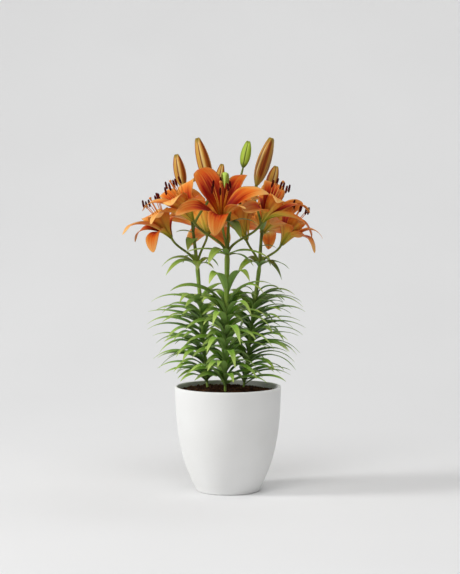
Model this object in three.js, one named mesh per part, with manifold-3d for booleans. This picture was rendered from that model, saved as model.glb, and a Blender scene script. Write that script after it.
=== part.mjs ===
// Potted lily: three leafy stems with open blooms and buds in a white cup-shaped pot.
// Units are millimetres, +Z is up and the origin is the centre of the pot's flat base.
import * as THREE from 'three';
import { mergeGeometries, mergeVertices } from 'three/addons/utils/BufferGeometryUtils.js';
import Module from 'manifold-3d';

const wasm = await Module();
wasm.setup();

const up = new THREE.Vector3(0, 0, 1);
const degree = Math.PI / 180;
const goldenShare = 0.618;

// Driving dimensions
const gap = 0.3;
const pot = {
  rimRadius: 75, baseRadius: 45.5, height: 148, wall: 4, floor: 7, sides: 32, footRadius: 1.8,
  belly: { inset: 4.8, height: 50 }, shoulder: { inset: 1.8, height: 89 }, innerCorner: 5,
};
const soil = {
  edgeLevel: 141, edgeClearance: 1.5, heap: 3, lump: 1.2, rearDip: 3.5, rearAngle: 0.8, holeBottom: 112,
};
const stem = { footRadius: 1.8, radius: 3.3, shootRadius: 2.5, stalkRadius: 1.7, seatRadius: 2.6, sides: 6 };
const leaf = {
  length: 80, width: 14, thickness: 0.9, channel: 0.32, lowest: 154, rearCount: 14, rearSpread: 170,
  lowRise: 24, highRise: 36, droop: 28, steepest: 52, rimClearance: 3, tilt: 0.2,
};
const tepal = { length: 84, innerWidth: 37, outerWidth: 27, thickness: 1.1, cup: 0.6, rootHeight: 5 };
const anther = { length: 11, radius: 1.9, lean: 0.15 };
const filament = { length: 54, spread: 13, radius: 0.8, rootRadius: 1.9, rootHeight: 1.2 };
const style = { length: 61, radius: 1.1, stigma: 2.2, base: 3.4 };
const throat = { radius: 4.4, height: 9 };

const colors = {
  pot: 0xf1f1ef, soil: 0x2d1c14, green: 0x4f8a35, tepals: 0xe06a22, stamens: 0x5a1512, bud: 0xd98a35,
};

// The three stems: where each leaves the soil, where its stalks fan out, the tip of its upper shoot,
// the turn of the middle of its rear leaves in degrees and the height of their topmost one.
const plants = {
  left: { foot: [-29, 22, 142], node: [-44, 44, 316], crown: [-50, 44, 366], turn: 110, top: 266, seed: 11 },
  centre: { foot: [-4, -30, 143], node: [-1, -32, 336], crown: [1, -22, 382], turn: 90, top: 272, seed: 23 },
  right: { foot: [22, 22, 142], node: [45, 44, 315], crown: [48, 44, 366], turn: 70, top: 268, seed: 37 },
};

// Leaves of the leafy part that face the front or the sides: the height on the stem where each grows,
// its tip, its width and its arch.
const frontLeaves = {
  left: [
    { height: 258, tip: [-110, 40, 264], width: 12, arch: 17 },
    { height: 253, tip: [-68, -20, 266], width: 13, arch: 24 },
    { height: 241, tip: [-104, 30, 252], width: 12, arch: 15 },
    { height: 236, tip: [-115, 50, 249], width: 12, arch: 10 },
    { height: 228, tip: [-93, 0, 238], width: 13, arch: 16 },
    { height: 213, tip: [-116, 40, 224], width: 12, arch: 19 },
    { height: 206, tip: [-85, -20, 217], width: 13, arch: 25 },
    { height: 202, tip: [-77, -10, 212], width: 11, arch: 23 },
    { height: 192, tip: [-109, 60, 213], width: 11, arch: 18 },
    { height: 190, tip: [-98, 10, 193], width: 12, arch: 26 },
    { height: 186, tip: [-73, -15, 190], width: 11, arch: 21 },
    { height: 182, tip: [-100, 60, 166], width: 10, arch: 22 },
    { height: 175, tip: [-107, 30, 183], width: 12, arch: 21 },
    { height: 165, tip: [-101, 25, 170], width: 12, arch: 16 },
    { height: 159, tip: [-89, -5, 167], width: 12, arch: 13 },
    { height: 150, tip: [-67, -18, 156], width: 12, arch: 15 },
  ],
  centre: [
    { height: 263, tip: [50, -62, 282], width: 13, arch: 28 },
    { height: 262, tip: [-81, -35, 284], width: 14, arch: 24 },
    { height: 256, tip: [35, -4, 282], width: 12, arch: 23 },
    { height: 249, tip: [-36, -62, 270], width: 14, arch: 25 },
    { height: 245, tip: [32, -78, 254], width: 14, arch: 30 },
    { height: 229, tip: [-21, -86, 240], width: 13, arch: 31 },
    { height: 221, tip: [61, -48, 231], width: 13, arch: 32 },
    { height: 219, tip: [17, -90, 215], width: 15, arch: 29 },
    { height: 214, tip: [-34, -55, 239], width: 14, arch: 24 },
    { height: 202, tip: [20, -50, 221], width: 13, arch: 21 },
    { height: 198, tip: [-29, -88, 203], width: 13, arch: 29 },
    { height: 198, tip: [64, -48, 204], width: 13, arch: 34 },
    { height: 186, tip: [10, -86, 182], width: 14, arch: 27 },
    { height: 182, tip: [-34, -52, 202], width: 14, arch: 19 },
    { height: 172, tip: [39, -62, 180], width: 12, arch: 19 },
    { height: 170, tip: [-28, -82, 178], width: 13, arch: 20 },
    { height: 165, tip: [-14, -84, 184], width: 13, arch: 19 },
    { height: 160, tip: [34, -20, 179], width: 12, arch: 16 },
    { height: 159, tip: [8, -80, 162], width: 12, arch: 15 },
    { height: 151, tip: [-54, -62, 172], width: 13, arch: 27 },
  ],
  right: [
    { height: 274, tip: [78, 30, 278], width: 12, arch: 15 },
    { height: 262, tip: [78, 0, 266], width: 12, arch: 16 },
    { height: 256, tip: [106, 60, 262], width: 12, arch: 18 },
    { height: 253, tip: [107, 30, 257], width: 12, arch: 22 },
    { height: 244, tip: [91, 10, 256], width: 13, arch: 15 },
    { height: 235, tip: [91, 50, 245], width: 12, arch: 19 },
    { height: 231, tip: [75, -8, 241], width: 11, arch: 16 },
    { height: 228, tip: [103, 20, 238], width: 12, arch: 14 },
    { height: 220, tip: [112, 50, 225], width: 12, arch: 18 },
    { height: 211, tip: [107, 30, 217], width: 12, arch: 20 },
    { height: 205, tip: [102, 60, 213], width: 11, arch: 14 },
    { height: 202, tip: [85, 0, 212], width: 12, arch: 18 },
    { height: 192, tip: [103, 30, 191], width: 12, arch: 25 },
    { height: 187, tip: [85, -8, 197], width: 12, arch: 21 },
    { height: 177, tip: [95, 20, 179], width: 12, arch: 23 },
    { height: 172, tip: [98, 50, 164], width: 11, arch: 27 },
    { height: 166, tip: [65, -5, 168], width: 12, arch: 13 },
    { height: 160, tip: [91, 60, 163], width: 11, arch: 11 },
    { height: 155, tip: [89, 20, 161], width: 11, arch: 14 },
    { height: 146, tip: [79, 10, 155], width: 11, arch: 14 },
  ],
};

// Single leaves and bracts above the leafy part: where each grows, its tip, its width and its arch.
const singleLeaves = {
  left: [
    { root: [-44, 46, 314], tip: [-95, 40, 314], width: 13, arch: 18 },
    { root: [-44, 45, 313], tip: [-88, 10, 303], width: 13, arch: 20 },
    { root: [-44, 45, 316], tip: [-43, 8, 311], width: 13, arch: 12 },
    { root: [-43, 46, 315], tip: [-20, 20, 312], width: 8, arch: 9 },
    { root: [-44, 47, 315], tip: [-66, 92, 316], width: 11, arch: 18 },
    { root: [-43, 47, 314], tip: [-14, 88, 312], width: 11, arch: 16 },
    { root: [-49, 44, 362], tip: [-74, 26, 364], width: 8, arch: 4 },
    { root: [-48, 44, 350], tip: [-57, 18, 338], width: 14, arch: 12 },
  ],
  centre: [
    { root: [-1, -32, 336], tip: [-59, -55, 339], width: 8, arch: 8 },
    { root: [-1, -33, 335], tip: [-27, -80, 324], width: 15, arch: 18 },
    { root: [-1, -32, 335], tip: [58, -66, 330], width: 9, arch: 12 },
    { root: [-1, -31, 333], tip: [-33, 2, 320], width: 9, arch: 12 },
    { root: [0, -31, 333], tip: [36, -2, 317], width: 9, arch: 12 },
    { root: [1, -24, 378], tip: [40, -50, 378], width: 6, arch: 9 },
    { root: [1, -23, 380], tip: [18, -60, 358], width: 15, arch: 10 },
    { root: [-3, -18, 381], tip: [-11, -46, 430], width: 13, arch: 58 },
    { root: [-2, -31, 284], tip: [-27, -72, 294], width: 15, arch: 26 },
    { root: [0, -31, 286], tip: [31, -70, 297], width: 15, arch: 26 },
  ],
  right: [
    { root: [45, 43, 314], tip: [14, 16, 305], width: 13, arch: 17 },
    { root: [45, 44, 315], tip: [76, 8, 297], width: 12, arch: 20 },
    { root: [46, 44, 315], tip: [88, 50, 310], width: 9, arch: 12 },
    { root: [45, 45, 314], tip: [62, 92, 312], width: 11, arch: 18 },
    { root: [44, 45, 315], tip: [20, 86, 314], width: 11, arch: 16 },
    { root: [47, 44, 343], tip: [69, 28, 341], width: 6, arch: 4 },
    { root: [48, 44, 364], tip: [54, 22, 380], width: 9, arch: 5 },
  ],
};

// Open blooms: the stalk's end, the way the bloom faces, and the tips of its six tepals in order round it,
// wide inner ones and narrow outer ones by turns. Single tepals have a share of the usual arch or width,
// or a roll in degrees.
const blooms = [
  {
    name: 'bloom_01', plant: 'centre', seat: [-8, -38, 379], axis: [-0.03, -0.55, 0.83], size: 1,
    tips: [
      [-43, -14, 452], [-71, -80, 391], [-18, -100, 364],
      [24, -96, 400], [56, -48, 420], [24, -10, 445],
    ],
    arches: { 3: 0.2 }, widths: { 2: 0.8 }, rolls: { 3: -30 },
  },
  {
    name: 'bloom_02', plant: 'centre', seat: [-47, -28, 380], axis: [-0.5, -0.05, 0.86], size: 0.95,
    tips: [
      [-46, 10, 436], [-92, 28, 415], [-119, -22, 395],
      [-105, -66, 378], [-76, -90, 405], [-31, -60, 411],
    ],
  },
  {
    name: 'bloom_03', plant: 'centre', seat: [46, -26, 378], axis: [0.46, -0.05, 0.89], size: 0.95,
    tips: [
      [59, 22, 432], [33, 12, 410], [21, -58, 396],
      [66, -84, 408], [115, -62, 359], [114, -10, 392],
    ],
    arches: { 2: 0.45 },
  },
  {
    name: 'bloom_04', plant: 'left', seat: [-80, 40, 354], axis: [-0.47, -0.05, 0.88], size: 0.95,
    tips: [
      [-115, 98, 379], [-134, 72, 348], [-150, 28, 360],
      [-104, -8, 337], [-95, -8, 386], [-60, 62, 381],
    ],
  },
  {
    name: 'bloom_05', plant: 'right', seat: [75, 40, 344], axis: [0.46, -0.05, 0.89], size: 0.95,
    tips: [
      [90, 98, 379], [62, 72, 377], [60, -8, 376],
      [100, -16, 377], [122, 12, 335], [135, 40, 354],
    ],
  },
  {
    name: 'bloom_06', plant: 'right', seat: [27, 48, 350], axis: [-0.35, 0.25, 0.9], size: 0.85,
    tips: ringOfTips([27, 48, 350], [-0.35, 0.25, 0.9], 25, 46, 40),
  },
  {
    name: 'bloom_07', plant: 'left', seat: [-30, 66, 358], axis: [0, 0.85, 0.5], size: 0.95,
    tips: ringOfTips([-30, 66, 358], [0, 0.85, 0.5], 30, 58, 48),
  },
  {
    name: 'bloom_08', plant: 'right', seat: [50, 72, 360], axis: [0.2, 0.85, 0.5], size: 0.95,
    tips: ringOfTips([50, 72, 360], [0.2, 0.85, 0.5], 0, 58, 48),
  },
];

// Closed buds: the stalk's end, the bud's tip and its widest diameter.
const buds = [
  { name: 'bud_01', plant: 'left', seat: [-25, 20, 430], tip: [-43, 18, 498.2], width: 20 },
  { name: 'bud_02', plant: 'left', seat: [-63, 30, 426], tip: [-73, 30, 475], width: 18 },
  { name: 'bud_03', plant: 'centre', seat: [-15, 10, 425], tip: [-8, 12, 461], width: 13 },
  { name: 'bud_04', plant: 'centre', seat: [21, 4, 455], tip: [29, 4, 493], width: 15 },
  { name: 'bud_05', plant: 'right', seat: [40, 22, 430], tip: [62, 22, 498.2], width: 21 },
  { name: 'bud_06', plant: 'right', seat: [57, 52, 420], tip: [69, 56, 458], width: 17 },
];

function vector(values) {
  return new THREE.Vector3(...values);
}

// Six tips evenly round a bloom's axis, at a reach from it and a lift above the seat
function ringOfTips(seat, axis, turn, reach, lift) {
  const direction = vector(axis).normalize();
  const sideways = new THREE.Vector3(1, 0, 0).cross(direction).normalize();
  return [0, 1, 2, 3, 4, 5].map((index) => vector(seat)
    .addScaledVector(direction, lift)
    .addScaledVector(sideways.clone().applyAxisAngle(direction, (turn + 60 * index) * degree), reach)
    .toArray());
}

// Repeatable random numbers from 0 to 1
function seededRandom(seed) {
  let state = seed;
  return () => {
    state = (Math.imul(state, 1664525) + 1013904223) >>> 0;
    return state / 4294967296;
  };
}

function mix(a, b, amount) {
  return a + (b - a) * amount;
}

function smoothStep(from, to, value) {
  const x = Math.min(Math.max((value - from) / (to - from), 0), 1);
  return x * x * (3 - 2 * x);
}

// Solids and unions

function closedMesh(geometry) {
  const bare = geometry.clone();
  bare.deleteAttribute('normal');
  bare.deleteAttribute('uv');
  const merged = mergeVertices(bare, 1e-3);
  const corners = merged.index.array;
  const kept = [];
  for (let i = 0; i < corners.length; i += 3) {
    const [a, b, c] = [corners[i], corners[i + 1], corners[i + 2]];
    if (a !== b && b !== c && c !== a) {
      kept.push(a, b, c);
    }
  }
  merged.setIndex(kept);
  return merged;
}

function toSolid(geometry) {
  const mesh = closedMesh(geometry);
  return new wasm.Manifold(new wasm.Mesh({
    numProp: 3,
    vertProperties: new Float32Array(mesh.attributes.position.array),
    triVerts: new Uint32Array(mesh.index.array),
  }));
}

// One closed body: the hollows that joining seals are filled and loose scraps dropped.
function join(solids) {
  const bodies = solids.reduce((whole, solid) => whole.add(solid)).decompose();
  return bodies.reduce((largest, body) => (body.volume() > largest.volume() ? body : largest));
}

function toGeometry(solid) {
  const mesh = solid.getMesh();
  const geometry = new THREE.BufferGeometry();
  geometry.setAttribute('position', new THREE.BufferAttribute(mesh.vertProperties, 3));
  geometry.setIndex(new THREE.BufferAttribute(mesh.triVerts, 1));
  geometry.computeVertexNormals();
  return geometry;
}

function namedMesh(name, solid, color, roughness) {
  const material = new THREE.MeshStandardMaterial({ color, roughness, metalness: 0 });
  const mesh = new THREE.Mesh(toGeometry(solid), material);
  mesh.name = name;
  return mesh;
}

// Round tubes, spindles and thin blades

function tube(curve, radius, sides, steps) {
  const circle = new THREE.Shape();
  for (let i = 0; i < sides; i += 1) {
    const angle = (2 * Math.PI * i) / sides;
    const corner = [radius * Math.cos(angle), radius * Math.sin(angle)];
    if (i === 0) {
      circle.moveTo(...corner);
    } else {
      circle.lineTo(...corner);
    }
  }
  circle.closePath();
  return toSolid(new THREE.ExtrudeGeometry(circle, { steps, extrudePath: curve, bevelEnabled: false }));
}

// Turns a lathe profile round the line from start to end.
function spindle(start, end, profile, sides) {
  const points = profile.map(([radius, share]) => new THREE.Vector2(radius, share * start.distanceTo(end)));
  const lathe = new THREE.LatheGeometry(points, sides);
  const direction = end.clone().sub(start).normalize();
  const turn = new THREE.Quaternion().setFromUnitVectors(new THREE.Vector3(0, 1, 0), direction);
  lathe.applyQuaternion(turn);
  lathe.translate(start.x, start.y, start.z);
  return toSolid(lathe);
}

// A thin closed blade. Both faces share one grid, so their triangles lie alike.
function blade(columns, rows, place) {
  const faces = [1, -1].map((side) => {
    const face = new THREE.PlaneGeometry(1, 1, columns, rows);
    const { position, uv } = face.attributes;
    for (let i = 0; i < position.count; i += 1) {
      const point = place(2 * uv.getX(i) - 1, uv.getY(i), side);
      position.setXYZ(i, point.x, point.y, point.z);
    }
    if (side < 0) {
      face.setIndex(Array.from(face.index.array).reverse());
    }
    return face;
  });
  return toSolid(mergeGeometries(faces));
}

// Direction along the spine, and the way the blade's upper face looks there.
function bladeFrame(spine, along, side) {
  const tangent = spine.getTangent(along);
  const normal = side.clone().cross(tangent).normalize();
  const across = tangent.clone().cross(normal);
  return { across, normal };
}

function bladeOnSpine(spine, side, form) {
  return blade(form.columns, form.rows, (u, along, face) => {
    const { across, normal } = bladeFrame(spine, along, side);
    const halfWidth = (form.width / 2) * form.outline(along);
    const body = form.thickness / 2 * (1 - u * u) * (4 * along * (1 - along)) ** 0.3;
    const rise = form.rise(u, along) * halfWidth;
    return spine.getPoint(along)
      .addScaledVector(across, u * halfWidth)
      .addScaledVector(normal, rise + face * body);
  });
}

// Pot and soil

// The wall's outline from the foot up to the lip, moved in by an inset
function wallCurve(inset, bottomRadius, bottom) {
  return new THREE.CubicBezierCurve(
    new THREE.Vector2(bottomRadius, bottom),
    new THREE.Vector2(pot.rimRadius - pot.belly.inset - inset, pot.belly.height),
    new THREE.Vector2(pot.rimRadius - pot.shoulder.inset - inset, pot.shoulder.height),
    new THREE.Vector2(pot.rimRadius - inset, pot.height - pot.wall / 2),
  );
}

function outerWall() {
  return wallCurve(0, pot.baseRadius, pot.footRadius);
}

function innerWall(clearance) {
  const inset = pot.wall + clearance;
  return wallCurve(inset, pot.baseRadius - clearance, pot.floor + pot.innerCorner);
}

function makePot() {
  const lipRadius = pot.wall / 2;
  const lip = new THREE.EllipseCurve(
    pot.rimRadius - lipRadius, pot.height - lipRadius, lipRadius, lipRadius, 0, Math.PI, false,
  );
  const profile = [
    new THREE.Vector2(0, 0),
    new THREE.Vector2(pot.baseRadius - pot.footRadius, 0),
    ...outerWall().getPoints(7),
    ...lip.getPoints(4).slice(1, -1),
    ...innerWall(0).getPoints(5).reverse(),
    new THREE.Vector2(pot.baseRadius - pot.footRadius, pot.floor),
    new THREE.Vector2(0, pot.floor),
  ];
  const lathe = new THREE.LatheGeometry(profile, pot.sides);
  lathe.rotateX(Math.PI / 2);
  return toSolid(lathe);
}

// Height of the crumbly soil above its level at a place on it
function soilRelief(x, y) {
  const distance = Math.hypot(x, y) / pot.rimRadius;
  const heap = soil.heap * (1 - distance * distance);
  const lumps = Math.sin(x * 0.31 + 1.3) * Math.cos(y * 0.27 - 0.4) + 0.6 * Math.sin(x * 0.13 - y * 0.21);
  const rear = Math.max(0, Math.cos(Math.atan2(y, x) - soil.rearAngle)) ** 3 * distance ** 4;
  return heap + soil.lump * lumps * (1 - distance ** 6) - soil.rearDip * rear;
}

function makeSoil(stemHoles) {
  const side = innerWall(gap).getPoints(5).filter((point) => point.y < soil.edgeLevel - 6);
  const edgeRadius = pot.rimRadius - pot.wall - soil.edgeClearance;
  const rings = [1, 0.78, 0.52, 0.26, 0]
    .map((share) => new THREE.Vector2(edgeRadius * share, soil.edgeLevel));
  const profile = [
    new THREE.Vector2(0, pot.floor + gap),
    new THREE.Vector2(pot.baseRadius - pot.footRadius - gap, pot.floor + gap),
    ...side,
    ...rings,
  ];
  const lathe = new THREE.LatheGeometry(profile, pot.sides);
  lathe.rotateX(Math.PI / 2);
  const { position } = lathe.attributes;
  for (let i = 0; i < position.count; i += 1) {
    if (Math.abs(position.getZ(i) - soil.edgeLevel) < 0.01) {
      position.setZ(i, soil.edgeLevel + soilRelief(position.getX(i), position.getY(i)));
    }
  }
  return stemHoles.reduce((ground, hole) => ground.subtract(hole), toSolid(lathe));
}

// Stems and leaves

// The middle of a stem at a height: stems are straight lines that lean outwards.
function stemPoint(plant, height) {
  const foot = vector(plant.foot);
  const node = vector(plant.node);
  return foot.lerp(node, (height - foot.z) / (node.z - foot.z));
}

function leafOutline(along) {
  return mix(0.4, 1, smoothStep(0, 0.36, along)) * (1 - along ** 2.4) ** 0.9;
}

function leafSpine(root, azimuth, rise, droop, length) {
  const outward = new THREE.Vector3(Math.cos(azimuth), Math.sin(azimuth), 0);
  const reach = (share, angle) => root.clone()
    .addScaledVector(outward, length * share * Math.cos(angle * degree))
    .addScaledVector(up, length * share * Math.sin(angle * degree));
  return new THREE.CubicBezierCurve3(
    root.clone(), reach(0.38, rise), reach(0.74, rise - 0.4 * droop), reach(0.93, rise - droop),
  );
}

// Across the leaf, with the nearer margin let down so that the upper face shows
function leafSide(direction) {
  const side = direction.clone().cross(up).normalize();
  return side.setZ(leaf.tilt * side.y);
}

function leafBlade(spine, side, width) {
  return bladeOnSpine(spine, side, {
    columns: 2,
    rows: 4,
    width,
    thickness: leaf.thickness,
    outline: leafOutline,
    rise: (u, along) => leaf.channel * Math.abs(u) * (1 - 0.6 * along),
  });
}

// True if the leaf keeps to its own stem's side of the others and stays above the pot's rim.
function leafIsClear(plant, spine, halfWidth) {
  const others = Object.values(plants).filter((other) => other !== plant);
  for (let along = 0.1; along <= 1; along += 0.1) {
    const point = spine.getPoint(along);
    if (point.z < pot.height + leaf.rimClearance) {
      return false;
    }
    const own = stemPoint(plant, point.z);
    const room = halfWidth * leafOutline(along) + 1;
    for (const other of others) {
      const apart = stemPoint(other, point.z).sub(own);
      const middle = own.clone().addScaledVector(apart, 0.5);
      if (apart.normalize().dot(middle.sub(point)) < room) {
        return false;
      }
    }
  }
  return true;
}

// A leaf that would reach a neighbour or the rim is raised first and shortened after that.
function clearSpine(plant, root, azimuth, rise, droop, length, halfWidth) {
  let angle = rise;
  let reach = length;
  let spine = leafSpine(root, azimuth, angle, droop, reach);
  while (!leafIsClear(plant, spine, halfWidth) && reach > 20) {
    if (angle < leaf.steepest) {
      angle += 4;
    } else {
      reach *= 0.94;
    }
    spine = leafSpine(root, azimuth, angle, droop, reach);
  }
  return spine;
}

// Leaves that follow each other up the stem and fan out on its rear side.
function rearLeaves(plant) {
  const random = seededRandom(plant.seed);
  const leaves = [];
  for (let i = 0; i < leaf.rearCount; i += 1) {
    const share = i / (leaf.rearCount - 1);
    const fan = (i * goldenShare) % 1 - 0.5;
    const azimuth = (plant.turn + leaf.rearSpread * fan + 24 * (random() - 0.5)) * degree;
    const outward = new THREE.Vector3(Math.cos(azimuth), Math.sin(azimuth), 0);
    const root = stemPoint(plant, mix(leaf.lowest, plant.top, share))
      .addScaledVector(outward, stem.radius * 0.45);
    const length = leaf.length * (0.8 + 0.2 * Math.sin(Math.PI * share)) * (0.9 + 0.2 * random());
    const width = leaf.width * (0.88 + 0.24 * random());
    const rise = mix(leaf.lowRise, leaf.highRise, share) + 16 * (random() - 0.5);
    const droop = leaf.droop + 16 * (random() - 0.5);
    const spine = clearSpine(plant, root, azimuth, rise, droop, length, width / 2);
    leaves.push(leafBlade(spine, leafSide(outward), width));
  }
  return leaves;
}

// A leaf or bract placed by hand: it rises from its root, arches over and ends at its tip.
function singleLeaf({ root, tip, width, arch }) {
  const start = vector(root);
  const end = vector(tip);
  const along = (share, lift) => start.clone().lerp(end, share).addScaledVector(up, lift);
  const spine = new THREE.CubicBezierCurve3(start, along(0.3, arch), along(0.72, arch), end);
  return leafBlade(spine, leafSide(end.clone().sub(start)), width);
}

function frontLeaf(plant, { height, tip, width, arch }) {
  return singleLeaf({ root: stemPoint(plant, height).toArray(), tip, width, arch });
}

// A stalk leaves its fork steeply and ends along the way its bloom or bud points.
function stalkCurve(start, seat, direction) {
  const length = start.distanceTo(seat);
  return new THREE.CubicBezierCurve3(
    start,
    start.clone().addScaledVector(up, length * 0.3).lerp(seat, 0.15),
    seat.clone().addScaledVector(direction, -length * 0.35),
    seat,
  );
}

function budAxis(bud) {
  return vector(bud.tip).sub(vector(bud.seat)).normalize();
}

function stalks(plantName) {
  const plant = plants[plantName];
  const bloomStalks = blooms.filter((bloom) => bloom.plant === plantName)
    .map((bloom) => stalkCurve(vector(plant.node), vector(bloom.seat), vector(bloom.axis).normalize()));
  const budStalks = buds.filter((bud) => bud.plant === plantName)
    .map((bud) => stalkCurve(vector(plant.crown), vector(bud.seat), budAxis(bud)));
  return [...bloomStalks, ...budStalks].map((curve) => tube(curve, stem.stalkRadius, 5, 5));
}

// The leafy part of a stem, thin at its foot and thicker towards the fork
function mainStem(plant, bottom, clearance) {
  return spindle(stemPoint(plant, bottom), vector(plant.node), [
    [0, 0], [stem.footRadius + clearance, 0], [stem.radius + clearance, 1], [0, 1],
  ], stem.sides);
}

function makeStem(plantName) {
  const plant = plants[plantName];
  const shoot = new THREE.LineCurve3(vector(plant.node), vector(plant.crown));
  return join([
    mainStem(plant, soil.holeBottom + gap, 0),
    tube(shoot, stem.shootRadius, stem.sides, 1),
    ...stalks(plantName),
    ...rearLeaves(plant),
    ...frontLeaves[plantName].map((values) => frontLeaf(plant, values)),
    ...singleLeaves[plantName].map(singleLeaf),
  ]);
}

// Blooms

function tepalOutline(along) {
  return mix(0.2, 1, smoothStep(0.02, 0.55, along)) * (1 - along ** 4) ** 0.6;
}

// The spine leaves the throat along the bloom's axis, arches out and turns down to its tip.
function tepalSpine(bloom, tip, isInner, arch) {
  const axis = vector(bloom.axis).normalize();
  const seat = vector(bloom.seat);
  const offset = vector(tip).sub(seat);
  const lift = offset.dot(axis);
  const outward = offset.addScaledVector(axis, -lift);
  const reach = outward.length();
  outward.normalize();
  const size = bloom.size * tepal.length;
  const fold = smoothStep(0.7, 0, lift / reach);
  const place = (out, high) => seat.clone().addScaledVector(outward, out).addScaledVector(axis, high);
  const spine = new THREE.CubicBezierCurve3(
    place(isInner ? 2.4 : 3.6, tepal.rootHeight),
    place(0.13 * reach + (isInner ? 2 : 6), (isInner ? 0.38 : 0.34) * size),
    place(reach - mix(0.28, 0.14, fold) * size, lift + mix(0.22, 0.34, fold) * size * arch),
    vector(tip),
  );
  return { spine, side: axis.clone().cross(outward).negate() };
}

function tepalBlade(bloom, tip, index) {
  const isInner = index % 2 === 0;
  const { arches = {}, widths = {}, rolls = {} } = bloom;
  const { spine, side } = tepalSpine(bloom, tip, isInner, arches[index] ?? 1);
  const chord = spine.v3.clone().sub(spine.v0).normalize();
  return bladeOnSpine(spine, side.applyAxisAngle(chord, (rolls[index] ?? 0) * degree), {
    columns: isInner ? 4 : 2,
    rows: 6,
    width: bloom.size * (isInner ? tepal.innerWidth : tepal.outerWidth) * (widths[index] ?? 1),
    thickness: tepal.thickness,
    outline: tepalOutline,
    rise: (u, along) => mix(tepal.cup, -0.1, along) * u * u,
  });
}

function bloomTepals(bloom) {
  const seat = vector(bloom.seat);
  const axis = vector(bloom.axis).normalize();
  const end = seat.clone().addScaledVector(axis, throat.height);
  const base = spindle(seat.clone().addScaledVector(axis, gap), end, [
    [0, 0], [stem.seatRadius, 0], [throat.radius, 0.6], [throat.radius, 1], [0, 1],
  ], 7);
  return join([base, ...bloom.tips.map((tip, index) => tepalBlade(bloom, tip, index))]);
}

function stamen(bloom, azimuth, reachShare) {
  const outward = new THREE.Vector3(Math.cos(azimuth), Math.sin(azimuth), 0);
  const length = filament.length * bloom.size * reachShare;
  const spread = filament.spread * bloom.size;
  const curve = new THREE.QuadraticBezierCurve3(
    outward.clone().multiplyScalar(filament.rootRadius).setZ(filament.rootHeight),
    outward.clone().multiplyScalar(spread * 0.4).setZ(length * 0.55),
    outward.clone().multiplyScalar(spread).setZ(length),
  );
  const middle = curve.getPoint(1);
  const half = outward.clone()
    .multiplyScalar(-anther.lean)
    .setZ(1)
    .setLength(anther.length / 2);
  return [
    tube(curve, filament.radius, 3, 2),
    spindle(middle.clone().sub(half), middle.clone().add(half), [[0, 0], [anther.radius, 0.5], [0, 1]], 4),
  ];
}

// Stamens and style stand on the bottom of the bloom; they are made upright and then turned with it.
function bloomStamens(bloom, seed) {
  const random = seededRandom(seed);
  const origin = new THREE.Vector3(0, 0, 0);
  const pistil = spindle(origin, new THREE.Vector3(0, 0, style.length * bloom.size), [
    [0, 0], [style.base, 0], [style.base, 0.05], [style.radius, 0.05],
    [style.radius, 0.94], [style.stigma, 0.97], [0, 1],
  ], 6);
  const stamens = [0, 1, 2, 3, 4, 5].flatMap((index) => {
    const azimuth = (60 * index + 30 * random()) * degree;
    return stamen(bloom, azimuth, 0.92 + 0.14 * random());
  });
  const axis = vector(bloom.axis).normalize();
  const floor = vector(bloom.seat).addScaledVector(axis, throat.height + gap);
  const turn = new THREE.Quaternion().setFromUnitVectors(up, axis);
  const matrix = new THREE.Matrix4().compose(floor, turn, new THREE.Vector3(1, 1, 1));
  return join([pistil, ...stamens]).transform(matrix.elements);
}

function makeBud(bud) {
  const axis = budAxis(bud);
  const start = vector(bud.seat).addScaledVector(axis, gap);
  const radius = bud.width / 2;
  return spindle(start, vector(bud.tip), [
    [0, 0], [radius * 0.25, 0], [radius * 0.78, 0.2], [radius, 0.46],
    [radius * 0.86, 0.7], [radius * 0.42, 0.96], [radius * 0.26, 1], [0, 1],
  ], 8);
}

// Whole object

const group = new THREE.Group();
group.add(namedMesh('pot', makePot(), colors.pot, 0.6));

const holes = Object.values(plants).map((plant) => mainStem(plant, soil.holeBottom, gap));
group.add(namedMesh('soil', makeSoil(holes), colors.soil, 1));

for (const plantName of Object.keys(plants)) {
  group.add(namedMesh(`stem_${plantName}`, makeStem(plantName), colors.green, 0.6));
}

blooms.forEach((bloom, index) => {
  group.add(namedMesh(`${bloom.name}_tepals`, bloomTepals(bloom), colors.tepals, 0.55));
  group.add(namedMesh(`${bloom.name}_stamens`, bloomStamens(bloom, 101 + index), colors.stamens, 0.7));
});

for (const bud of buds) {
  group.add(namedMesh(bud.name, makeBud(bud), colors.bud, 0.55));
}

export default group;
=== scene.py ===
# Potted lily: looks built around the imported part, in metres, in the part's own frame.
# The plant plan below is in millimetres and is turned into metres when a mesh is made.
import math

import bpy
from mathutils import Matrix, Quaternion, Vector, noise


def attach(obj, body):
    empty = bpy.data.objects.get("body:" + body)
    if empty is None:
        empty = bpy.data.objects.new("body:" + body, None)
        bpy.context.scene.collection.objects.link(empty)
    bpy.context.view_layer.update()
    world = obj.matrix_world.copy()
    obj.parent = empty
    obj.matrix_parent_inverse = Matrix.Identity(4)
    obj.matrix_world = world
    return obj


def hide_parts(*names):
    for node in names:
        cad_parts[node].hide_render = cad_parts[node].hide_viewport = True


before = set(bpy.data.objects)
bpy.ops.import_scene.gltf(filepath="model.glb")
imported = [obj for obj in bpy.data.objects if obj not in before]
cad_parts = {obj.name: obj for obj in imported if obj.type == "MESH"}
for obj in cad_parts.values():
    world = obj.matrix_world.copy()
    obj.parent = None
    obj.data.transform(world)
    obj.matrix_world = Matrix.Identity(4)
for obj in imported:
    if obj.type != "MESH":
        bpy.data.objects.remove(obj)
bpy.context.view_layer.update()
metre = 0.001                                   # one millimetre of the plan
upAxis = Vector((0, 0, 1))
goldenShare = 0.618                             # spreads turns and shades without repeating them
bloomParts = 6                                  # tepals of a bloom, and its stamens
partTurn = 360 / bloomParts
print("frame loaded:", len(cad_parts), "nodes")


# Plant plan: the places that the part has, with some widths and tips fitted closer to the photo

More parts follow.
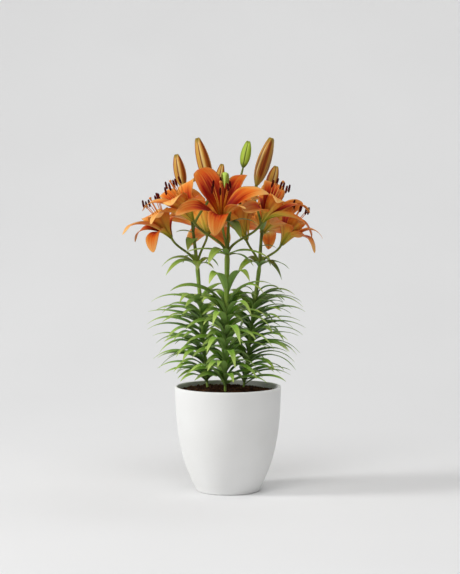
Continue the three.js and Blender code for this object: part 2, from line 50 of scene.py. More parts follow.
# Each stem: where it leaves the soil, where its stalks fan out, the tip of its upper shoot, the turn of the
# middle of its rear leaves and the height of the topmost, its radius, and how dark its leaves may be, which
# is painted light and shade: paler on the left plant, towards the key light, and darker on the shaded right
plants = {
    "left": {"foot": (-29, 22, 142), "node": (-44, 44, 316), "crown": (-50, 44, 366),
             "turn": 110, "top": 266, "stout": 2.8, "seed": 11, "depth": 0.06},
    "centre": {"foot": (-4, -30, 143), "node": (-1, -32, 336), "crown": (1, -22, 382),
               "turn": 90, "top": 272, "stout": 3.5, "seed": 23, "depth": 0.9},
    "right": {"foot": (22, 22, 142), "node": (45, 44, 315), "crown": (48, 44, 366),
              "turn": 70, "top": 268, "stout": 2.8, "seed": 37, "depth": 1.05},
}

frontLeaves = {                                 # height on the stem, tip, width, arch
    "left": [
        (258, (-110, 40, 264), 12, 17), (253, (-68, -20, 266), 13, 24), (241, (-104, 30, 252), 12, 15),
        (236, (-115, 50, 249), 12, 10), (228, (-93, 0, 238), 13, 16), (213, (-116, 40, 224), 12, 19),
        (206, (-85, -20, 217), 13, 25), (202, (-77, -10, 212), 11, 23), (192, (-109, 60, 213), 11, 18),
        (190, (-98, 10, 193), 12, 26), (186, (-73, -15, 190), 11, 21), (182, (-100, 60, 166), 10, 22),
        (175, (-107, 30, 183), 12, 21), (165, (-101, 25, 170), 12, 16), (159, (-89, -5, 167), 12, 13),
        (150, (-67, -18, 156), 12, 15),
    ],
    "centre": [
        (263, (50, -62, 282), 13, 28), (262, (-81, -35, 284), 14, 24), (256, (35, -4, 282), 12, 23),
        (249, (-36, -62, 270), 14, 25), (245, (32, -78, 254), 14, 30), (229, (-21, -86, 240), 13, 31),
        (221, (61, -48, 231), 13, 32), (219, (17, -90, 215), 15, 29), (214, (-34, -55, 239), 14, 24),
        (202, (20, -50, 221), 13, 21), (198, (-29, -88, 203), 13, 29), (198, (64, -48, 204), 13, 34),
        (186, (10, -86, 182), 14, 27), (182, (-34, -52, 202), 14, 19), (172, (39, -62, 180), 12, 19),
        (170, (-28, -82, 178), 13, 20), (165, (-14, -84, 184), 13, 19), (160, (34, -20, 179), 12, 16),
        (159, (8, -80, 162), 12, 15), (151, (-54, -62, 172), 13, 27),
    ],
    "right": [
        (274, (78, 30, 278), 12, 15), (262, (78, 0, 266), 12, 16), (256, (106, 60, 262), 12, 18),
        (253, (107, 30, 257), 12, 22), (244, (91, 10, 256), 13, 15), (235, (91, 50, 245), 12, 19),
        (231, (75, -8, 241), 11, 16), (228, (103, 20, 238), 12, 14), (220, (112, 50, 225), 12, 18),
        (211, (107, 30, 217), 12, 20), (205, (102, 60, 213), 11, 14), (202, (85, 0, 212), 12, 18),
        (192, (103, 30, 191), 12, 25), (187, (85, -8, 197), 12, 21), (177, (95, 20, 179), 12, 23),
        (172, (98, 50, 164), 11, 27), (166, (65, -5, 168), 12, 13), (160, (91, 60, 163), 11, 11),
        (155, (89, 20, 161), 11, 14), (146, (79, 10, 155), 11, 14),
    ],
}

singleLeaves = {                                # root, tip, width, arch
    "left": [
        ((-44, 46, 314), (-95, 40, 314), 15, 18), ((-44, 45, 313), (-88, 10, 303), 16, 20),
        ((-44, 45, 316), (-43, 8, 311), 18, 12), ((-43, 46, 315), (-20, 20, 312), 8, 9),
        ((-44, 47, 315), (-66, 92, 316), 11, 18), ((-43, 47, 314), (-14, 88, 312), 11, 16),
        ((-49, 44, 362), (-74, 26, 364), 8, 4), ((-48, 44, 350), (-57, 18, 338), 18, 12),
    ],
    "centre": [
        ((-1, -32, 336), (-59, -55, 339), 10, 8), ((-1, -33, 335), (-27, -80, 324), 19, 18),
        ((-1, -32, 335), (58, -66, 330), 14, 12), ((-1, -31, 333), (-33, 2, 320), 9, 12),
        ((0, -31, 333), (36, -2, 317), 9, 12), ((1, -24, 378), (40, -50, 378), 6, 9),
        ((1, -23, 380), (18, -60, 358), 18, 10),
        ((-2, -31, 280), (-26, -66, 296), 19, 30), ((0, -31, 282), (30, -62, 299), 19, 30),
    ],
    "right": [
        ((45, 43, 314), (14, 16, 305), 17, 17), ((45, 44, 315), (76, 8, 297), 17, 20),
        ((46, 44, 315), (88, 50, 310), 13, 12), ((45, 45, 314), (62, 92, 312), 11, 18),
        ((44, 45, 315), (20, 86, 314), 11, 16), ((47, 44, 343), (69, 28, 341), 6, 4),
        ((48, 44, 364), (54, 22, 380), 9, 5),
    ],
}


# Six tips evenly round a bloom's axis, at a reach from it and a lift above the seat
def ringOfTips(seat, axis, turn, reach, lift):
    direction = Vector(axis).normalized()
    sideways = Vector((1, 0, 0)).cross(direction).normalized()
    tips = []
    for index in range(bloomParts):
        outward = Quaternion(direction, math.radians(turn + partTurn * index)) @ sideways
        tips.append(Vector(seat) + direction * lift + outward * reach)
    return tips


# Open blooms: the stalk's end, the way the bloom faces and the tips of its tepals, wide inner and narrow
# outer ones by turns. Single tepals have a share of the usual arch or width, a roll in degrees, or a shade,
# which runs from 0, light orange, to 1, dark red.
blooms = [
    {"name": "bloom_01", "plant": "centre", "seat": (-8, -38, 379),
     "axis": (-0.03, -0.55, 0.83), "size": 1,
     "tips": [(-43, -14, 452), (-71, -80, 391), (-18, -100, 364),
              (24, -96, 400), (56, -48, 420), (24, -10, 445)],
     "arches": {3: 0.2}, "widths": {2: 0.8, 3: 0.65}, "rolls": {3: -30},
     "shades": {0: 1.0, 1: 0.72, 2: 0.7, 3: 0.3, 4: 0.4, 5: 0.95}},
    {"name": "bloom_02", "plant": "centre", "seat": (-47, -28, 380),
     "axis": (-0.5, -0.05, 0.86), "size": 0.95,
     "tips": [(-46, 10, 436), (-92, 28, 415), (-119, -22, 395),
              (-105, -66, 378), (-76, -90, 405), (-31, -60, 411)],
     "shades": {0: 0.0, 3: 0.2}},
    {"name": "bloom_03", "plant": "centre", "seat": (46, -26, 378),
     "axis": (0.46, -0.05, 0.89), "size": 0.95,
     "tips": [(59, 22, 432), (33, 12, 410), (21, -58, 396),
              (66, -84, 408), (115, -62, 359), (114, -10, 392)],
     "arches": {2: 0.45}, "shades": {2: 0.1}},
    {"name": "bloom_04", "plant": "left", "seat": (-80, 40, 354),
     "axis": (-0.47, -0.05, 0.88), "size": 0.95,
     "tips": [(-115, 98, 379), (-134, 72, 348), (-150, 28, 360),
              (-104, -8, 337), (-95, -8, 386), (-60, 62, 381)],
     "shades": {0: 0.0, 2: 0.1, 3: 0.6, 4: 0.2, 5: 0.0}},
    {"name": "bloom_05", "plant": "right", "seat": (75, 40, 344),
     "axis": (0.46, -0.05, 0.89), "size": 0.95,
     "tips": [(90, 98, 379), (62, 72, 377), (60, -8, 376),
              (100, -16, 377), (122, 12, 335), (135, 40, 354)]},
    {"name": "bloom_06", "plant": "right", "seat": (27, 48, 350),
     "axis": (-0.35, 0.25, 0.9), "size": 0.85,
     "tips": ringOfTips((27, 48, 350), (-0.35, 0.25, 0.9), 25, 46, 40)},
    {"name": "bloom_07", "plant": "left", "seat": (-30, 66, 358),
     "axis": (0, 0.85, 0.5), "size": 0.95,
     "tips": ringOfTips((-30, 66, 358), (0, 0.85, 0.5), 30, 58, 48)},
    {"name": "bloom_08", "plant": "right", "seat": (50, 72, 360),
     "axis": (0.2, 0.85, 0.5), "size": 0.95,
     "tips": ringOfTips((50, 72, 360), (0.2, 0.85, 0.5), 0, 58, 48)},
]

# Closed buds: the stalk's end, the bud's tip, its widest diameter, the turn of a seam, how red it is, and
# the radius of the stalk's end as a share of that diameter
buds = [
    {"name": "bud_01", "plant": "left", "seat": (-25, 20, 430), "tip": (-43, 18, 498.2),
     "width": 20, "seam": -113, "blush": 0.3, "neck": 0.11},
    {"name": "bud_02", "plant": "left", "seat": (-63, 30, 426), "tip": (-73, 30, 475),
     "width": 18, "seam": -112, "blush": 0.5, "neck": 0.11},
    {"name": "bud_03", "plant": "centre", "seat": (-15, 10, 425), "tip": (-8, 12, 461),
     "width": 13, "seam": -96, "blush": 0.4, "neck": 0.11},
    {"name": "bud_04", "plant": "centre", "seat": (21, 4, 455), "tip": (29, 4, 493),
     "width": 15, "seam": -98, "blush": 0, "neck": 0.08, "isGreen": True},
    {"name": "bud_05", "plant": "right", "seat": (40, 22, 430), "tip": (62, 22, 498.2),
     "width": 21, "seam": -146, "blush": 1, "neck": 0.11},
    {"name": "bud_06", "plant": "right", "seat": (57, 52, 420), "tip": (69, 56, 458),
     "width": 17, "seam": -82, "blush": 0.3, "neck": 0.11},
]


# Small helpers for numbers, curves and meshes

# Repeatable random numbers from 0 to 1
def seededRandom(seed):
    factor = 1664525
    step = 1013904223
    span = 2 ** 32
    state = seed

    def draw():
        nonlocal state
        state = (state * factor + step) % span
        return state / span
    return draw


def mix(a, b, amount):
    return a + (b - a) * amount


def smoothStep(start, end, value):
    x = min(max((value - start) / (end - start), 0), 1)
    return x * x * (3 - 2 * x)


def bezier(points, amount):
    level = [Vector(point) for point in points]
    while len(level) > 1:
        level = [a.lerp(b, amount) for a, b in zip(level, level[1:])]
    return level[0]


def meshObject(name, vertices, edges=(), faces=()):
    mesh = bpy.data.meshes.new(name)
    mesh.from_pydata([Vector(v) * metre for v in vertices], edges, faces)
    obj = bpy.data.objects.new(name, mesh)
    bpy.context.scene.collection.objects.link(obj)
    return obj


def addAttribute(obj, name, kind, values):
    attribute = obj.data.attributes.new(name, kind, "POINT")
    if kind == "FLOAT":
        attribute.data.foreach_set("value", values)
    else:
        attribute.data.foreach_set("vector", [part for value in values for part in value])


def finishPiece(obj, slot, *replaced):
    obj.data.polygons.foreach_set("use_smooth", [True] * len(obj.data.polygons))
    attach(obj, "root")
    if replaced:
        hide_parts(*replaced)


# Helpers for node trees

def addNode(tree, kind, values=None, **settings):
    node = tree.nodes.new(kind)
    for key, value in settings.items():
        setattr(node, key, value)
    for key, value in (values or {}).items():
        feed(tree, node.inputs[key], value)
    return node


def feed(tree, socket, value):
    if isinstance(value, bpy.types.NodeSocket):
        tree.links.new(value, socket)
    else:
        socket.default_value = value


def mathNode(tree, operation, *values):
    node = addNode(tree, "ShaderNodeMath", dict(enumerate(values)), operation=operation)
    return node.outputs[0]


def multiply(tree, a, b):
    return mathNode(tree, "MULTIPLY", a, b)


def plus(tree, a, b):
    return mathNode(tree, "ADD", a, b)


def minus(tree, a, b):
    return mathNode(tree, "SUBTRACT", a, b)


def power(tree, a, b):
    return mathNode(tree, "POWER", a, b)


def vectorNode(tree, operation, *values):
    node = addNode(tree, "ShaderNodeVectorMath", dict(enumerate(values)), operation=operation)
    return node.outputs["Value"] if operation == "DOT_PRODUCT" else node.outputs["Vector"]


def separate(tree, vector):
    return addNode(tree, "ShaderNodeSeparateXYZ", {0: vector}).outputs


def scaleNode(tree, vector, amount):
    node = addNode(tree, "ShaderNodeVectorMath", {0: vector, "Scale": amount}, operation="SCALE")
    return node.outputs["Vector"]


# The mix node's sockets go by number, because each kind of value has its own with the same names
def mixVectors(tree, amount, a, b):
    node = addNode(tree, "ShaderNodeMix", {0: amount, 4: a, 5: b}, data_type="VECTOR")
    return node.outputs[1]


def mixValues(tree, amount, a, b):
    node = addNode(tree, "ShaderNodeMix", {0: amount, 2: a, 3: b}, data_type="FLOAT")
    return node.outputs[0]


def mapRange(tree, value, fromMin, fromMax, toMin=0.0, toMax=1.0, kind="LINEAR"):
    node = addNode(tree, "ShaderNodeMapRange", {
        "Value": value, "From Min": fromMin, "From Max": fromMax, "To Min": toMin, "To Max": toMax,
    }, interpolation_type=kind)
    return node.outputs["Result"]


socketTypes = {"int": "NodeSocketInt", "float": "NodeSocketFloat", "material": "NodeSocketMaterial"}


def geometryTree(name, inputs):
    tree = bpy.data.node_groups.new(name, "GeometryNodeTree")
    tree.interface.new_socket("Geometry", in_out="INPUT", socket_type="NodeSocketGeometry")
    for label, kind in inputs:
        tree.interface.new_socket(label, in_out="INPUT", socket_type=socketTypes[kind])
    tree.interface.new_socket("Geometry", in_out="OUTPUT", socket_type="NodeSocketGeometry")
    source = tree.nodes.new("NodeGroupInput")
    return tree, source.outputs


def endTree(tree, geometry, material):
    realized = addNode(tree, "GeometryNodeRealizeInstances", {"Geometry": geometry})
    smooth = addNode(tree, "GeometryNodeSetShadeSmooth", {0: realized.outputs[0]})
    painted = addNode(tree, "GeometryNodeSetMaterial", {
        "Geometry": smooth.outputs[0], "Material": material})
    result = tree.nodes.new("NodeGroupOutput")
    tree.links.new(painted.outputs[0], result.inputs[0])


def readAttribute(tree, name, kind="FLOAT"):
    return addNode(tree, "GeometryNodeInputNamedAttribute", {"Name": name}, data_type=kind).outputs[0]


def storeAttribute(tree, geometry, name, value, domain="POINT"):
    node = addNode(tree, "GeometryNodeStoreNamedAttribute",
                   {"Geometry": geometry, "Name": name, "Value": value},
                   data_type="FLOAT", domain=domain)
    return node.outputs[0]


# Runs a tree on an object and keeps the result as a plain mesh
def growMesh(obj, tree, values):
    modifier = obj.modifiers.new(tree.name, "NODES")
    modifier.node_group = tree
    sockets = {item.name: item.identifier for item in tree.interface.items_tree if item.in_out == "INPUT"}
    for label, value in values.items():
        modifier[sockets[label]] = value
    obj.update_tag()
    depsgraph = bpy.context.evaluated_depsgraph_get()
    grown = bpy.data.meshes.new_from_object(obj.evaluated_get(depsgraph))
    obj.modifiers.clear()
    obj.data = grown
    return obj


# Leaves and tepals share these
bladeShape = {
    "rowCrowding": 1.5, "grooveBase": 2.718, "grooveSharpness": -60.0, "grooveEnd": 0.9, "endFullness": 0.3,
    "ruffleShift": 37.0, "seamGap": 0.00001,
}


# Tree for thin blades: each vertex of the source is one blade with its own spine, side, width and shade

def makeBladeTree():
    tree, given = geometryTree("bladeOnSpine", [
        ("Columns", "int"), ("Rows", "int"), ("Thickness", "float"), ("Base Width", "float"),
        ("Widest At", "float"), ("Tip Power", "float"), ("Tip Round", "float"), ("Cup Base", "float"),
        ("Cup Tip", "float"), ("Cup Power", "float"), ("Midrib", "float"), ("Ruffle", "float"),
        ("Ruffle Scale", "float"), ("Twist", "float"), ("Seed", "int"), ("Material", "material"),
    ])
    grid = addNode(tree, "GeometryNodeMeshGrid", {
        "Size X": 2.0, "Size Y": 1.0, "Vertices X": given["Columns"], "Vertices Y": given["Rows"]})
    place = separate(tree, addNode(tree, "GeometryNodeInputPosition").outputs[0])
    left = minus(tree, 0.5, place["Y"])
    along = minus(tree, 1.0, power(tree, left, bladeShape["rowCrowding"]))
    sheet = storeAttribute(tree, grid.outputs["Mesh"], "across", place["X"])
    sheet = storeAttribute(tree, sheet, "along", along)
    copies = addNode(tree, "GeometryNodeInstanceOnPoints", {"Points": given["Geometry"], "Instance": sheet})
    blades = addNode(tree, "GeometryNodeRealizeInstances", {"Geometry": copies.outputs[0]}).outputs[0]

    across = readAttribute(tree, "across")
    along = readAttribute(tree, "along")
    shade = readAttribute(tree, "shade")
    spinePoint, lift, sideways = bladeFrame(tree, along, multiply(tree, given["Twist"], shade))
    halfWidth = multiply(tree, readAttribute(tree, "width"), bladeOutline(tree, along, given))
    halfWidth = multiply(tree, halfWidth, 0.5)

    spread = mathNode(tree, "ABSOLUTE", across)
    cup = mixValues(tree, along, given["Cup Base"], given["Cup Tip"])
    rise = multiply(tree, cup, power(tree, spread, given["Cup Power"]))
    rise = plus(tree, rise, bladeRuffle(tree, across, along, shade, spread, given))
    rise = multiply(tree, rise, halfWidth)
    groove = multiply(tree, power(tree, spread, 2.0), bladeShape["grooveSharpness"])
    groove = power(tree, bladeShape["grooveBase"], groove)
    fade = mapRange(tree, along, 0.0, bladeShape["grooveEnd"], 1.0, 0.0)
    groove = multiply(tree, multiply(tree, groove, fade), given["Midrib"])
    rise = minus(tree, rise, groove)
    edge = minus(tree, 1.0, power(tree, spread, 2.0))
    ends = multiply(tree, multiply(tree, along, 4.0), minus(tree, 1.0, along))
    ends = power(tree, mathNode(tree, "MAXIMUM", ends, 0.0), bladeShape["endFullness"])
    body = multiply(tree, multiply(tree, edge, ends), given["Thickness"])
    body = multiply(tree, body, 0.5)

    faces = []
    for underside, sign in ((0.0, 1.0), (1.0, -1.0)):
        high = plus(tree, rise, multiply(tree, body, sign))
        away = scaleNode(tree, sideways, multiply(tree, across, halfWidth))
        point = vectorNode(tree, "ADD", spinePoint, away)
        point = vectorNode(tree, "ADD", point, scaleNode(tree, lift, high))
        face = addNode(tree, "GeometryNodeSetPosition", {"Geometry": blades, "Position": point}).outputs[0]
        if underside:
            face = addNode(tree, "GeometryNodeFlipFaces", {"Mesh": face}).outputs[0]
        faces.append(storeAttribute(tree, face, "underside", underside, "FACE"))
    both = tree.nodes.new("GeometryNodeJoinGeometry")
    for face in faces:
        tree.links.new(face, both.inputs[0])
    closed = addNode(tree, "GeometryNodeMergeByDistance", {
        "Geometry": both.outputs[0], "Distance": bladeShape["seamGap"]})
    endTree(tree, closed.outputs[0], given["Material"])
    return tree


# Point on the spine with the ways that the blade's upper face and right margin look there
def bladeFrame(tree, along, turn):
    level = [readAttribute(tree, name, "FLOAT_VECTOR") for name in ("spineA", "spineB", "spineC", "spineD")]
    while len(level) > 2:
        level = [mixVectors(tree, along, a, b) for a, b in zip(level, level[1:])]
    point = mixVectors(tree, along, *level)
    tangent = vectorNode(tree, "NORMALIZE", vectorNode(tree, "SUBTRACT", level[1], level[0]))
    side = readAttribute(tree, "side", "FLOAT_VECTOR")
    normal = vectorNode(tree, "NORMALIZE", vectorNode(tree, "CROSS_PRODUCT", side, tangent))
    sideways = vectorNode(tree, "CROSS_PRODUCT", tangent, normal)
    angle = multiply(tree, turn, along)
    cosine = mathNode(tree, "COSINE", angle)
    sine = mathNode(tree, "SINE", angle)
    turnedSide = vectorNode(tree, "ADD", scaleNode(tree, sideways, cosine), scaleNode(tree, normal, sine))
    back = scaleNode(tree, sideways, sine)
    turnedLift = vectorNode(tree, "SUBTRACT", scaleNode(tree, normal, cosine), back)
    return point, turnedLift, turnedSide


def bladeOutline(tree, along, given):
    swell = mapRange(tree, along, 0.0, given["Widest At"], given["Base Width"], 1.0, "SMOOTHSTEP")
    taper = minus(tree, 1.0, power(tree, along, given["Tip Power"]))
    taper = power(tree, mathNode(tree, "MAXIMUM", taper, 0.0), given["Tip Round"])
    return multiply(tree, swell, taper)


# Uneven waves that grow towards each margin
def bladeRuffle(tree, across, along, shade, spread, given):
    margin = plus(tree, mathNode(tree, "SIGN", across), multiply(tree, shade, bladeShape["ruffleShift"]))
    where = addNode(tree, "ShaderNodeCombineXYZ", {
        "X": multiply(tree, along, given["Ruffle Scale"]), "Y": margin, "Z": given["Seed"]})
    waves = addNode(tree, "ShaderNodeTexNoise", {"Vector": where.outputs[0], "Scale": 1.0, "Detail": 1.0})
    height = minus(tree, waves.outputs[0], 0.5)
    height = multiply(tree, height, given["Ruffle"])
    return multiply(tree, height, power(tree, spread, 2.0))


# Source for the blade tree: one vertex for each blade
def bladeSource(name, blades):
    obj = meshObject(name, [blade["spine"][0] for blade in blades])
    for index, label in enumerate(("spineA", "spineB", "spineC", "spineD")):
        points = [Vector(blade["spine"][index]) * metre for blade in blades]
        addAttribute(obj, label, "FLOAT_VECTOR", points)
    addAttribute(obj, "side", "FLOAT_VECTOR", [blade["side"] for blade in blades])
    addAttribute(obj, "width", "FLOAT", [blade["width"] * metre for blade in blades])
    addAttribute(obj, "shade", "FLOAT", [blade["shade"] for blade in blades])
    return obj


# Tree for round stems and threads: each chain of edges is swept with its own radius at each point

def makeSweepTree():
    tree, given = geometryTree("sweptStalk", [("Sides", "int"), ("Material", "material")])
    lines = addNode(tree, "GeometryNodeMeshToCurve", {"Mesh": given["Geometry"]})
    ring = addNode(tree, "GeometryNodeCurvePrimitiveCircle", {"Resolution": given["Sides"], "Radius": 1.0})
    swept = addNode(tree, "GeometryNodeCurveToMesh", {
        "Curve": lines.outputs[0], "Profile Curve": ring.outputs[0], "Fill Caps": True,
        "Scale": readAttribute(tree, "radius")})
    endTree(tree, swept.outputs[0], given["Material"])
    return tree


# Source for the sweep tree: paths are lists of (point, radius)
def sweepSource(name, paths):
    vertices = []
    edges = []
    radii = []
    shares = []
    for path in paths:
        start = len(vertices)
        vertices += [point for point, radius in path]
        radii += [radius * metre for point, radius in path]
        shares += [index / (len(path) - 1) for index in range(len(path))]
        edges += [(start + index, start + index + 1) for index in range(len(path) - 1)]
    obj = meshObject(name, vertices, edges)
    addAttribute(obj, "radius", "FLOAT", radii)
    addAttribute(obj, "along", "FLOAT", shares)
    return obj


lobedShape = {                                  # valley and hollow start at a share of the body's length
    "tipPower": 6.0, "valleyFrom": 0.86, "valleyTo": 0.97, "hollowFrom": 0.988, "hollowDepth": 0.8,
    "seamGap": 0.0001,
}


# Tree for lobed bodies such as anthers and buds: one closed body at each vertex of the source

def makeLobedTree(name, profile):
    tree, given = geometryTree(name, [
        ("Segments", "int"), ("Rings", "int"), ("Lobes", "float"), ("Lobe Depth", "float"),
        ("Tip Depth", "float"), ("Tip Notch", "float"), ("Spin", "float"), ("Material", "material")])
    shell = addNode(tree, "GeometryNodeMeshCylinder", {
        "Vertices": given["Segments"], "Side Segments": given["Rings"], "Radius": 1.0, "Depth": 1.0,
    }, fill_type="NONE")
    place = separate(tree, addNode(tree, "GeometryNodeInputPosition").outputs[0])
    share = plus(tree, place["Z"], 0.5)
    swing = mathNode(tree, "COSINE", multiply(tree, share, math.pi))
    share = minus(tree, 0.5, multiply(tree, 0.5, swing))
    around = mathNode(tree, "ARCTAN2", place["Y"], place["X"])
    body = storeAttribute(tree, shell.outputs["Mesh"], "along", share)
    body = storeAttribute(tree, body, "around", around)
    body = storeAttribute(tree, body, "ringX", place["X"])
    body = storeAttribute(tree, body, "ringY", place["Y"])

    share = readAttribute(tree, "along")
    around = readAttribute(tree, "around")
    curve = addNode(tree, "ShaderNodeFloatCurve", {"Value": share})
    points = curve.mapping.curves[0].points
    for (position, height) in profile[1:-1]:
        points.new(position, height)
    points[0].location = profile[0]
    points[len(points) - 1].location = profile[-1]
    curve.mapping.update()
    nearEnd = power(tree, share, lobedShape["tipPower"])
    depth = mixValues(tree, nearEnd, given["Lobe Depth"], given["Tip Depth"])
    lobes = mathNode(tree, "COSINE", multiply(tree, around, given["Lobes"]))
    radius = plus(tree, 1.0, multiply(tree, minus(tree, lobes, 1.0), depth))
    radius = multiply(tree, radius, curve.outputs[0])
    nearTip = mapRange(tree, share, lobedShape["valleyFrom"], lobedShape["valleyTo"])
    valley = multiply(tree, minus(tree, 1.0, lobes), nearTip)
    hollow = mapRange(tree, share, lobedShape["hollowFrom"], 1.0,
                      0.0, lobedShape["hollowDepth"], "SMOOTHSTEP")
    sunk = multiply(tree, plus(tree, valley, hollow), given["Tip Notch"])
    heading = plus(tree, around, given["Spin"])
    point = addNode(tree, "ShaderNodeCombineXYZ", {
        "X": multiply(tree, radius, mathNode(tree, "COSINE", heading)),
        "Y": multiply(tree, radius, mathNode(tree, "SINE", heading)),
        "Z": minus(tree, share, sunk)})
    body = addNode(tree, "GeometryNodeSetPosition", {"Geometry": body, "Position": point.outputs[0]})
    body = addNode(tree, "GeometryNodeMergeByDistance", {
        "Geometry": body.outputs[0], "Distance": lobedShape["seamGap"]}).outputs[0]
    aim = addNode(tree, "FunctionNodeAlignRotationToVector", {
        "Vector": readAttribute(tree, "aim", "FLOAT_VECTOR")}, axis="Z")
    copies = addNode(tree, "GeometryNodeInstanceOnPoints", {
        "Points": given["Geometry"], "Instance": body, "Rotation": aim.outputs[0],
        "Scale": readAttribute(tree, "stretch", "FLOAT_VECTOR")})
    endTree(tree, copies.outputs[0], given["Material"])
    return tree


# Source for a lobed tree: bodies are (start, end, radius)
def lobedSource(name, bodies):
    obj = meshObject(name, [start for start, end, radius in bodies])
    spans = [Vector(end) - Vector(start) for start, end, radius in bodies]
    sizes = [Vector((body[2], body[2], span.length)) * metre for body, span in zip(bodies, spans)]
    addAttribute(obj, "aim", "FLOAT_VECTOR", [span.normalized() for span in spans])
    addAttribute(obj, "stretch", "FLOAT_VECTOR", sizes)
    return obj


bladeTree = makeBladeTree()
sweepTree = makeSweepTree()
print("geometry trees built")


# Materials

def colour(red, green, blue):
    channels = []
    for value in (red, green, blue):
        share = value / 255
        channels.append(share / 12.92 if share <= 0.04045 else ((share + 0.055) / 1.055) ** 2.4)
    return (*channels, 1.0)


def mixColours(tree, amount, a, b, blend="MIX"):
    node = addNode(tree, "ShaderNodeMix", {0: amount, 6: a, 7: b}, data_type="RGBA", blend_type=blend)
    return node.outputs[2]


def ramp(tree, value, stops):
    node = addNode(tree, "ShaderNodeValToRGB", {"Fac": value})
    elements = node.color_ramp.elements
    while len(elements) < len(stops):
        elements.new(0.5)
    for element, (position, shade) in zip(elements, stops):
        element.position = position
        element.color = shade
    return node.outputs["Color"]


def shaderGroup(name, inputs, outputs):
    tree = bpy.data.node_groups.new(name, "ShaderNodeTree")
    for label, value in inputs.items():
        socket = tree.interface.new_socket(label, in_out="INPUT", socket_type="NodeSocketFloat")
        socket.default_value = value
    for label in outputs:
        tree.interface.new_socket(label, in_out="OUTPUT", socket_type="NodeSocketFloat")
    return tree, tree.nodes.new("NodeGroupInput").outputs, tree.nodes.new("NodeGroupOutput").inputs


def placeGroup(tree, group, values):
    node = tree.nodes.new("ShaderNodeGroup")
    node.node_tree = group
    for label, value in values.items():
        feed(tree, node.inputs[label], value)
    return node.outputs


veinShape = {
    "wander": 3.0, "wanderShift": 41.0, "drift": 0.12, "halfTurn": 3.1416, "ridge": 0.6, "faintScale": 2.3,
    "faintLevel": 0.7, "streakLength": 1.6, "streakShift": 73.0, "streakLow": 0.3, "streakHigh": 0.7,
}


# Fine lengthwise veins and broader streaks of a blade, from its own across and along values
def makeVeinGroup():
    tree, given, result = shaderGroup(
        "parallelVeins", {"Across": 0, "Along": 0, "Shade": 0, "Count": 20, "Fineness": 12},
        ["Veins", "Streaks"])
    wander = addNode(tree, "ShaderNodeCombineXYZ", {
        "X": multiply(tree, given["Across"], veinShape["wander"]),
        "Y": multiply(tree, given["Along"], veinShape["wander"]),
        "Z": multiply(tree, given["Shade"], veinShape["wanderShift"])})
    drift = addNode(tree, "ShaderNodeTexNoise", {"Vector": wander.outputs[0], "Scale": 1.0, "Detail": 2.0})
    bent = plus(tree, given["Across"], multiply(tree, drift.outputs[0], veinShape["drift"]))
    turns = multiply(tree, bent, multiply(tree, given["Count"], veinShape["halfTurn"]))
    ridge = power(tree, mathNode(tree, "ABSOLUTE", mathNode(tree, "SINE", turns)), veinShape["ridge"])
    faint = addNode(tree, "ShaderNodeTexNoise", {
        "Vector": wander.outputs[0], "Scale": veinShape["faintScale"], "Detail": 3.0})
    clear = mapRange(tree, faint.outputs[0], 0.35, 0.65)
    tree.links.new(mixValues(tree, clear, veinShape["faintLevel"], ridge), result["Veins"])
    long = addNode(tree, "ShaderNodeCombineXYZ", {
        "X": multiply(tree, bent, given["Fineness"]),
        "Y": multiply(tree, given["Along"], veinShape["streakLength"]),
        "Z": multiply(tree, given["Shade"], veinShape["streakShift"])})
    streaks = addNode(tree, "ShaderNodeTexNoise", {"Vector": long.outputs[0], "Scale": 1.0, "Detail": 4.0})
    streaks = mapRange(tree, streaks.outputs[0], veinShape["streakLow"], veinShape["streakHigh"])
    tree.links.new(streaks, result["Streaks"])
    return tree


# Soft uneven patches over a piece, from its place on the object
def makeMottleGroup():
    tree, given, result = shaderGroup(
        "mottle", {"Scale": 40, "Detail": 4, "Low": 0.35, "High": 0.65}, ["Mask"])
    where = tree.nodes.new("ShaderNodeTexCoord").outputs["Object"]
    patches = addNode(tree, "ShaderNodeTexNoise", {
        "Vector": where, "Scale": given["Scale"], "Detail": given["Detail"]})
    tree.links.new(mapRange(tree, patches.outputs[0], given["Low"], given["High"]), result["Mask"])
    return tree


veinGroup = makeVeinGroup()
mottleGroup = makeMottleGroup()


def newMaterial(name):
    material = bpy.data.materials.new(name)
    material.use_nodes = True
    tree = material.node_tree
    return material, tree, tree.nodes["Principled BSDF"].inputs


def attributeNode(tree, name):
    return addNode(tree, "ShaderNodeAttribute", attribute_name=name).outputs["Fac"]


def bumpNode(tree, height, strength, distance):
    return addNode(tree, "ShaderNodeBump", {
        "Height": height, "Strength": strength, "Distance": distance}).outputs[0]


def mottle(tree, scale, detail, low=0.35, high=0.65):
    values = {"Scale": scale, "Detail": detail, "Low": low, "High": high}
    return placeGroup(tree, mottleGroup, values)["Mask"]


# Lays a shade over the base where a mask is high, at most by the given share
def tint(tree, mask, share, base, shade):
    return mixColours(tree, multiply(tree, mask, share), base, shade)


ceramicLook = {                                 # relief is the bump's strength and depth, here and below
    "dim": colour(232, 232, 230), "bright": colour(238, 238, 237), "speck": colour(206, 204, 199),
    "speckShare": 0.12, "roughness": (0.5, 0.62), "relief": (0.12, 0.0002),
}


def makeCeramic():
    look = ceramicLook
    material, tree, shader = newMaterial("whiteCeramic")
    cloud = mottle(tree, 9, 3)
    speck = mottle(tree, 900, 2, 0.6, 0.75)
    base = mixColours(tree, cloud, look["dim"], look["bright"])
    base = tint(tree, speck, look["speckShare"], base, look["speck"])
    feed(tree, shader["Base Color"], base)
    feed(tree, shader["Roughness"], mapRange(tree, cloud, 0, 1, *look["roughness"]))
    feed(tree, shader["Normal"], bumpNode(tree, mottle(tree, 420, 3), *look["relief"]))
    return material


peatLook = {
    # hollow: near-black painted shade of the hollows in the peat, laid by a fine noise
    "hollow": colour(24, 15, 10), "hollowShadeShare": 0.5, "roughness": (0.85, 1.0), "specular": 0.12,
    "relief": (0.6, 0.0008),
}


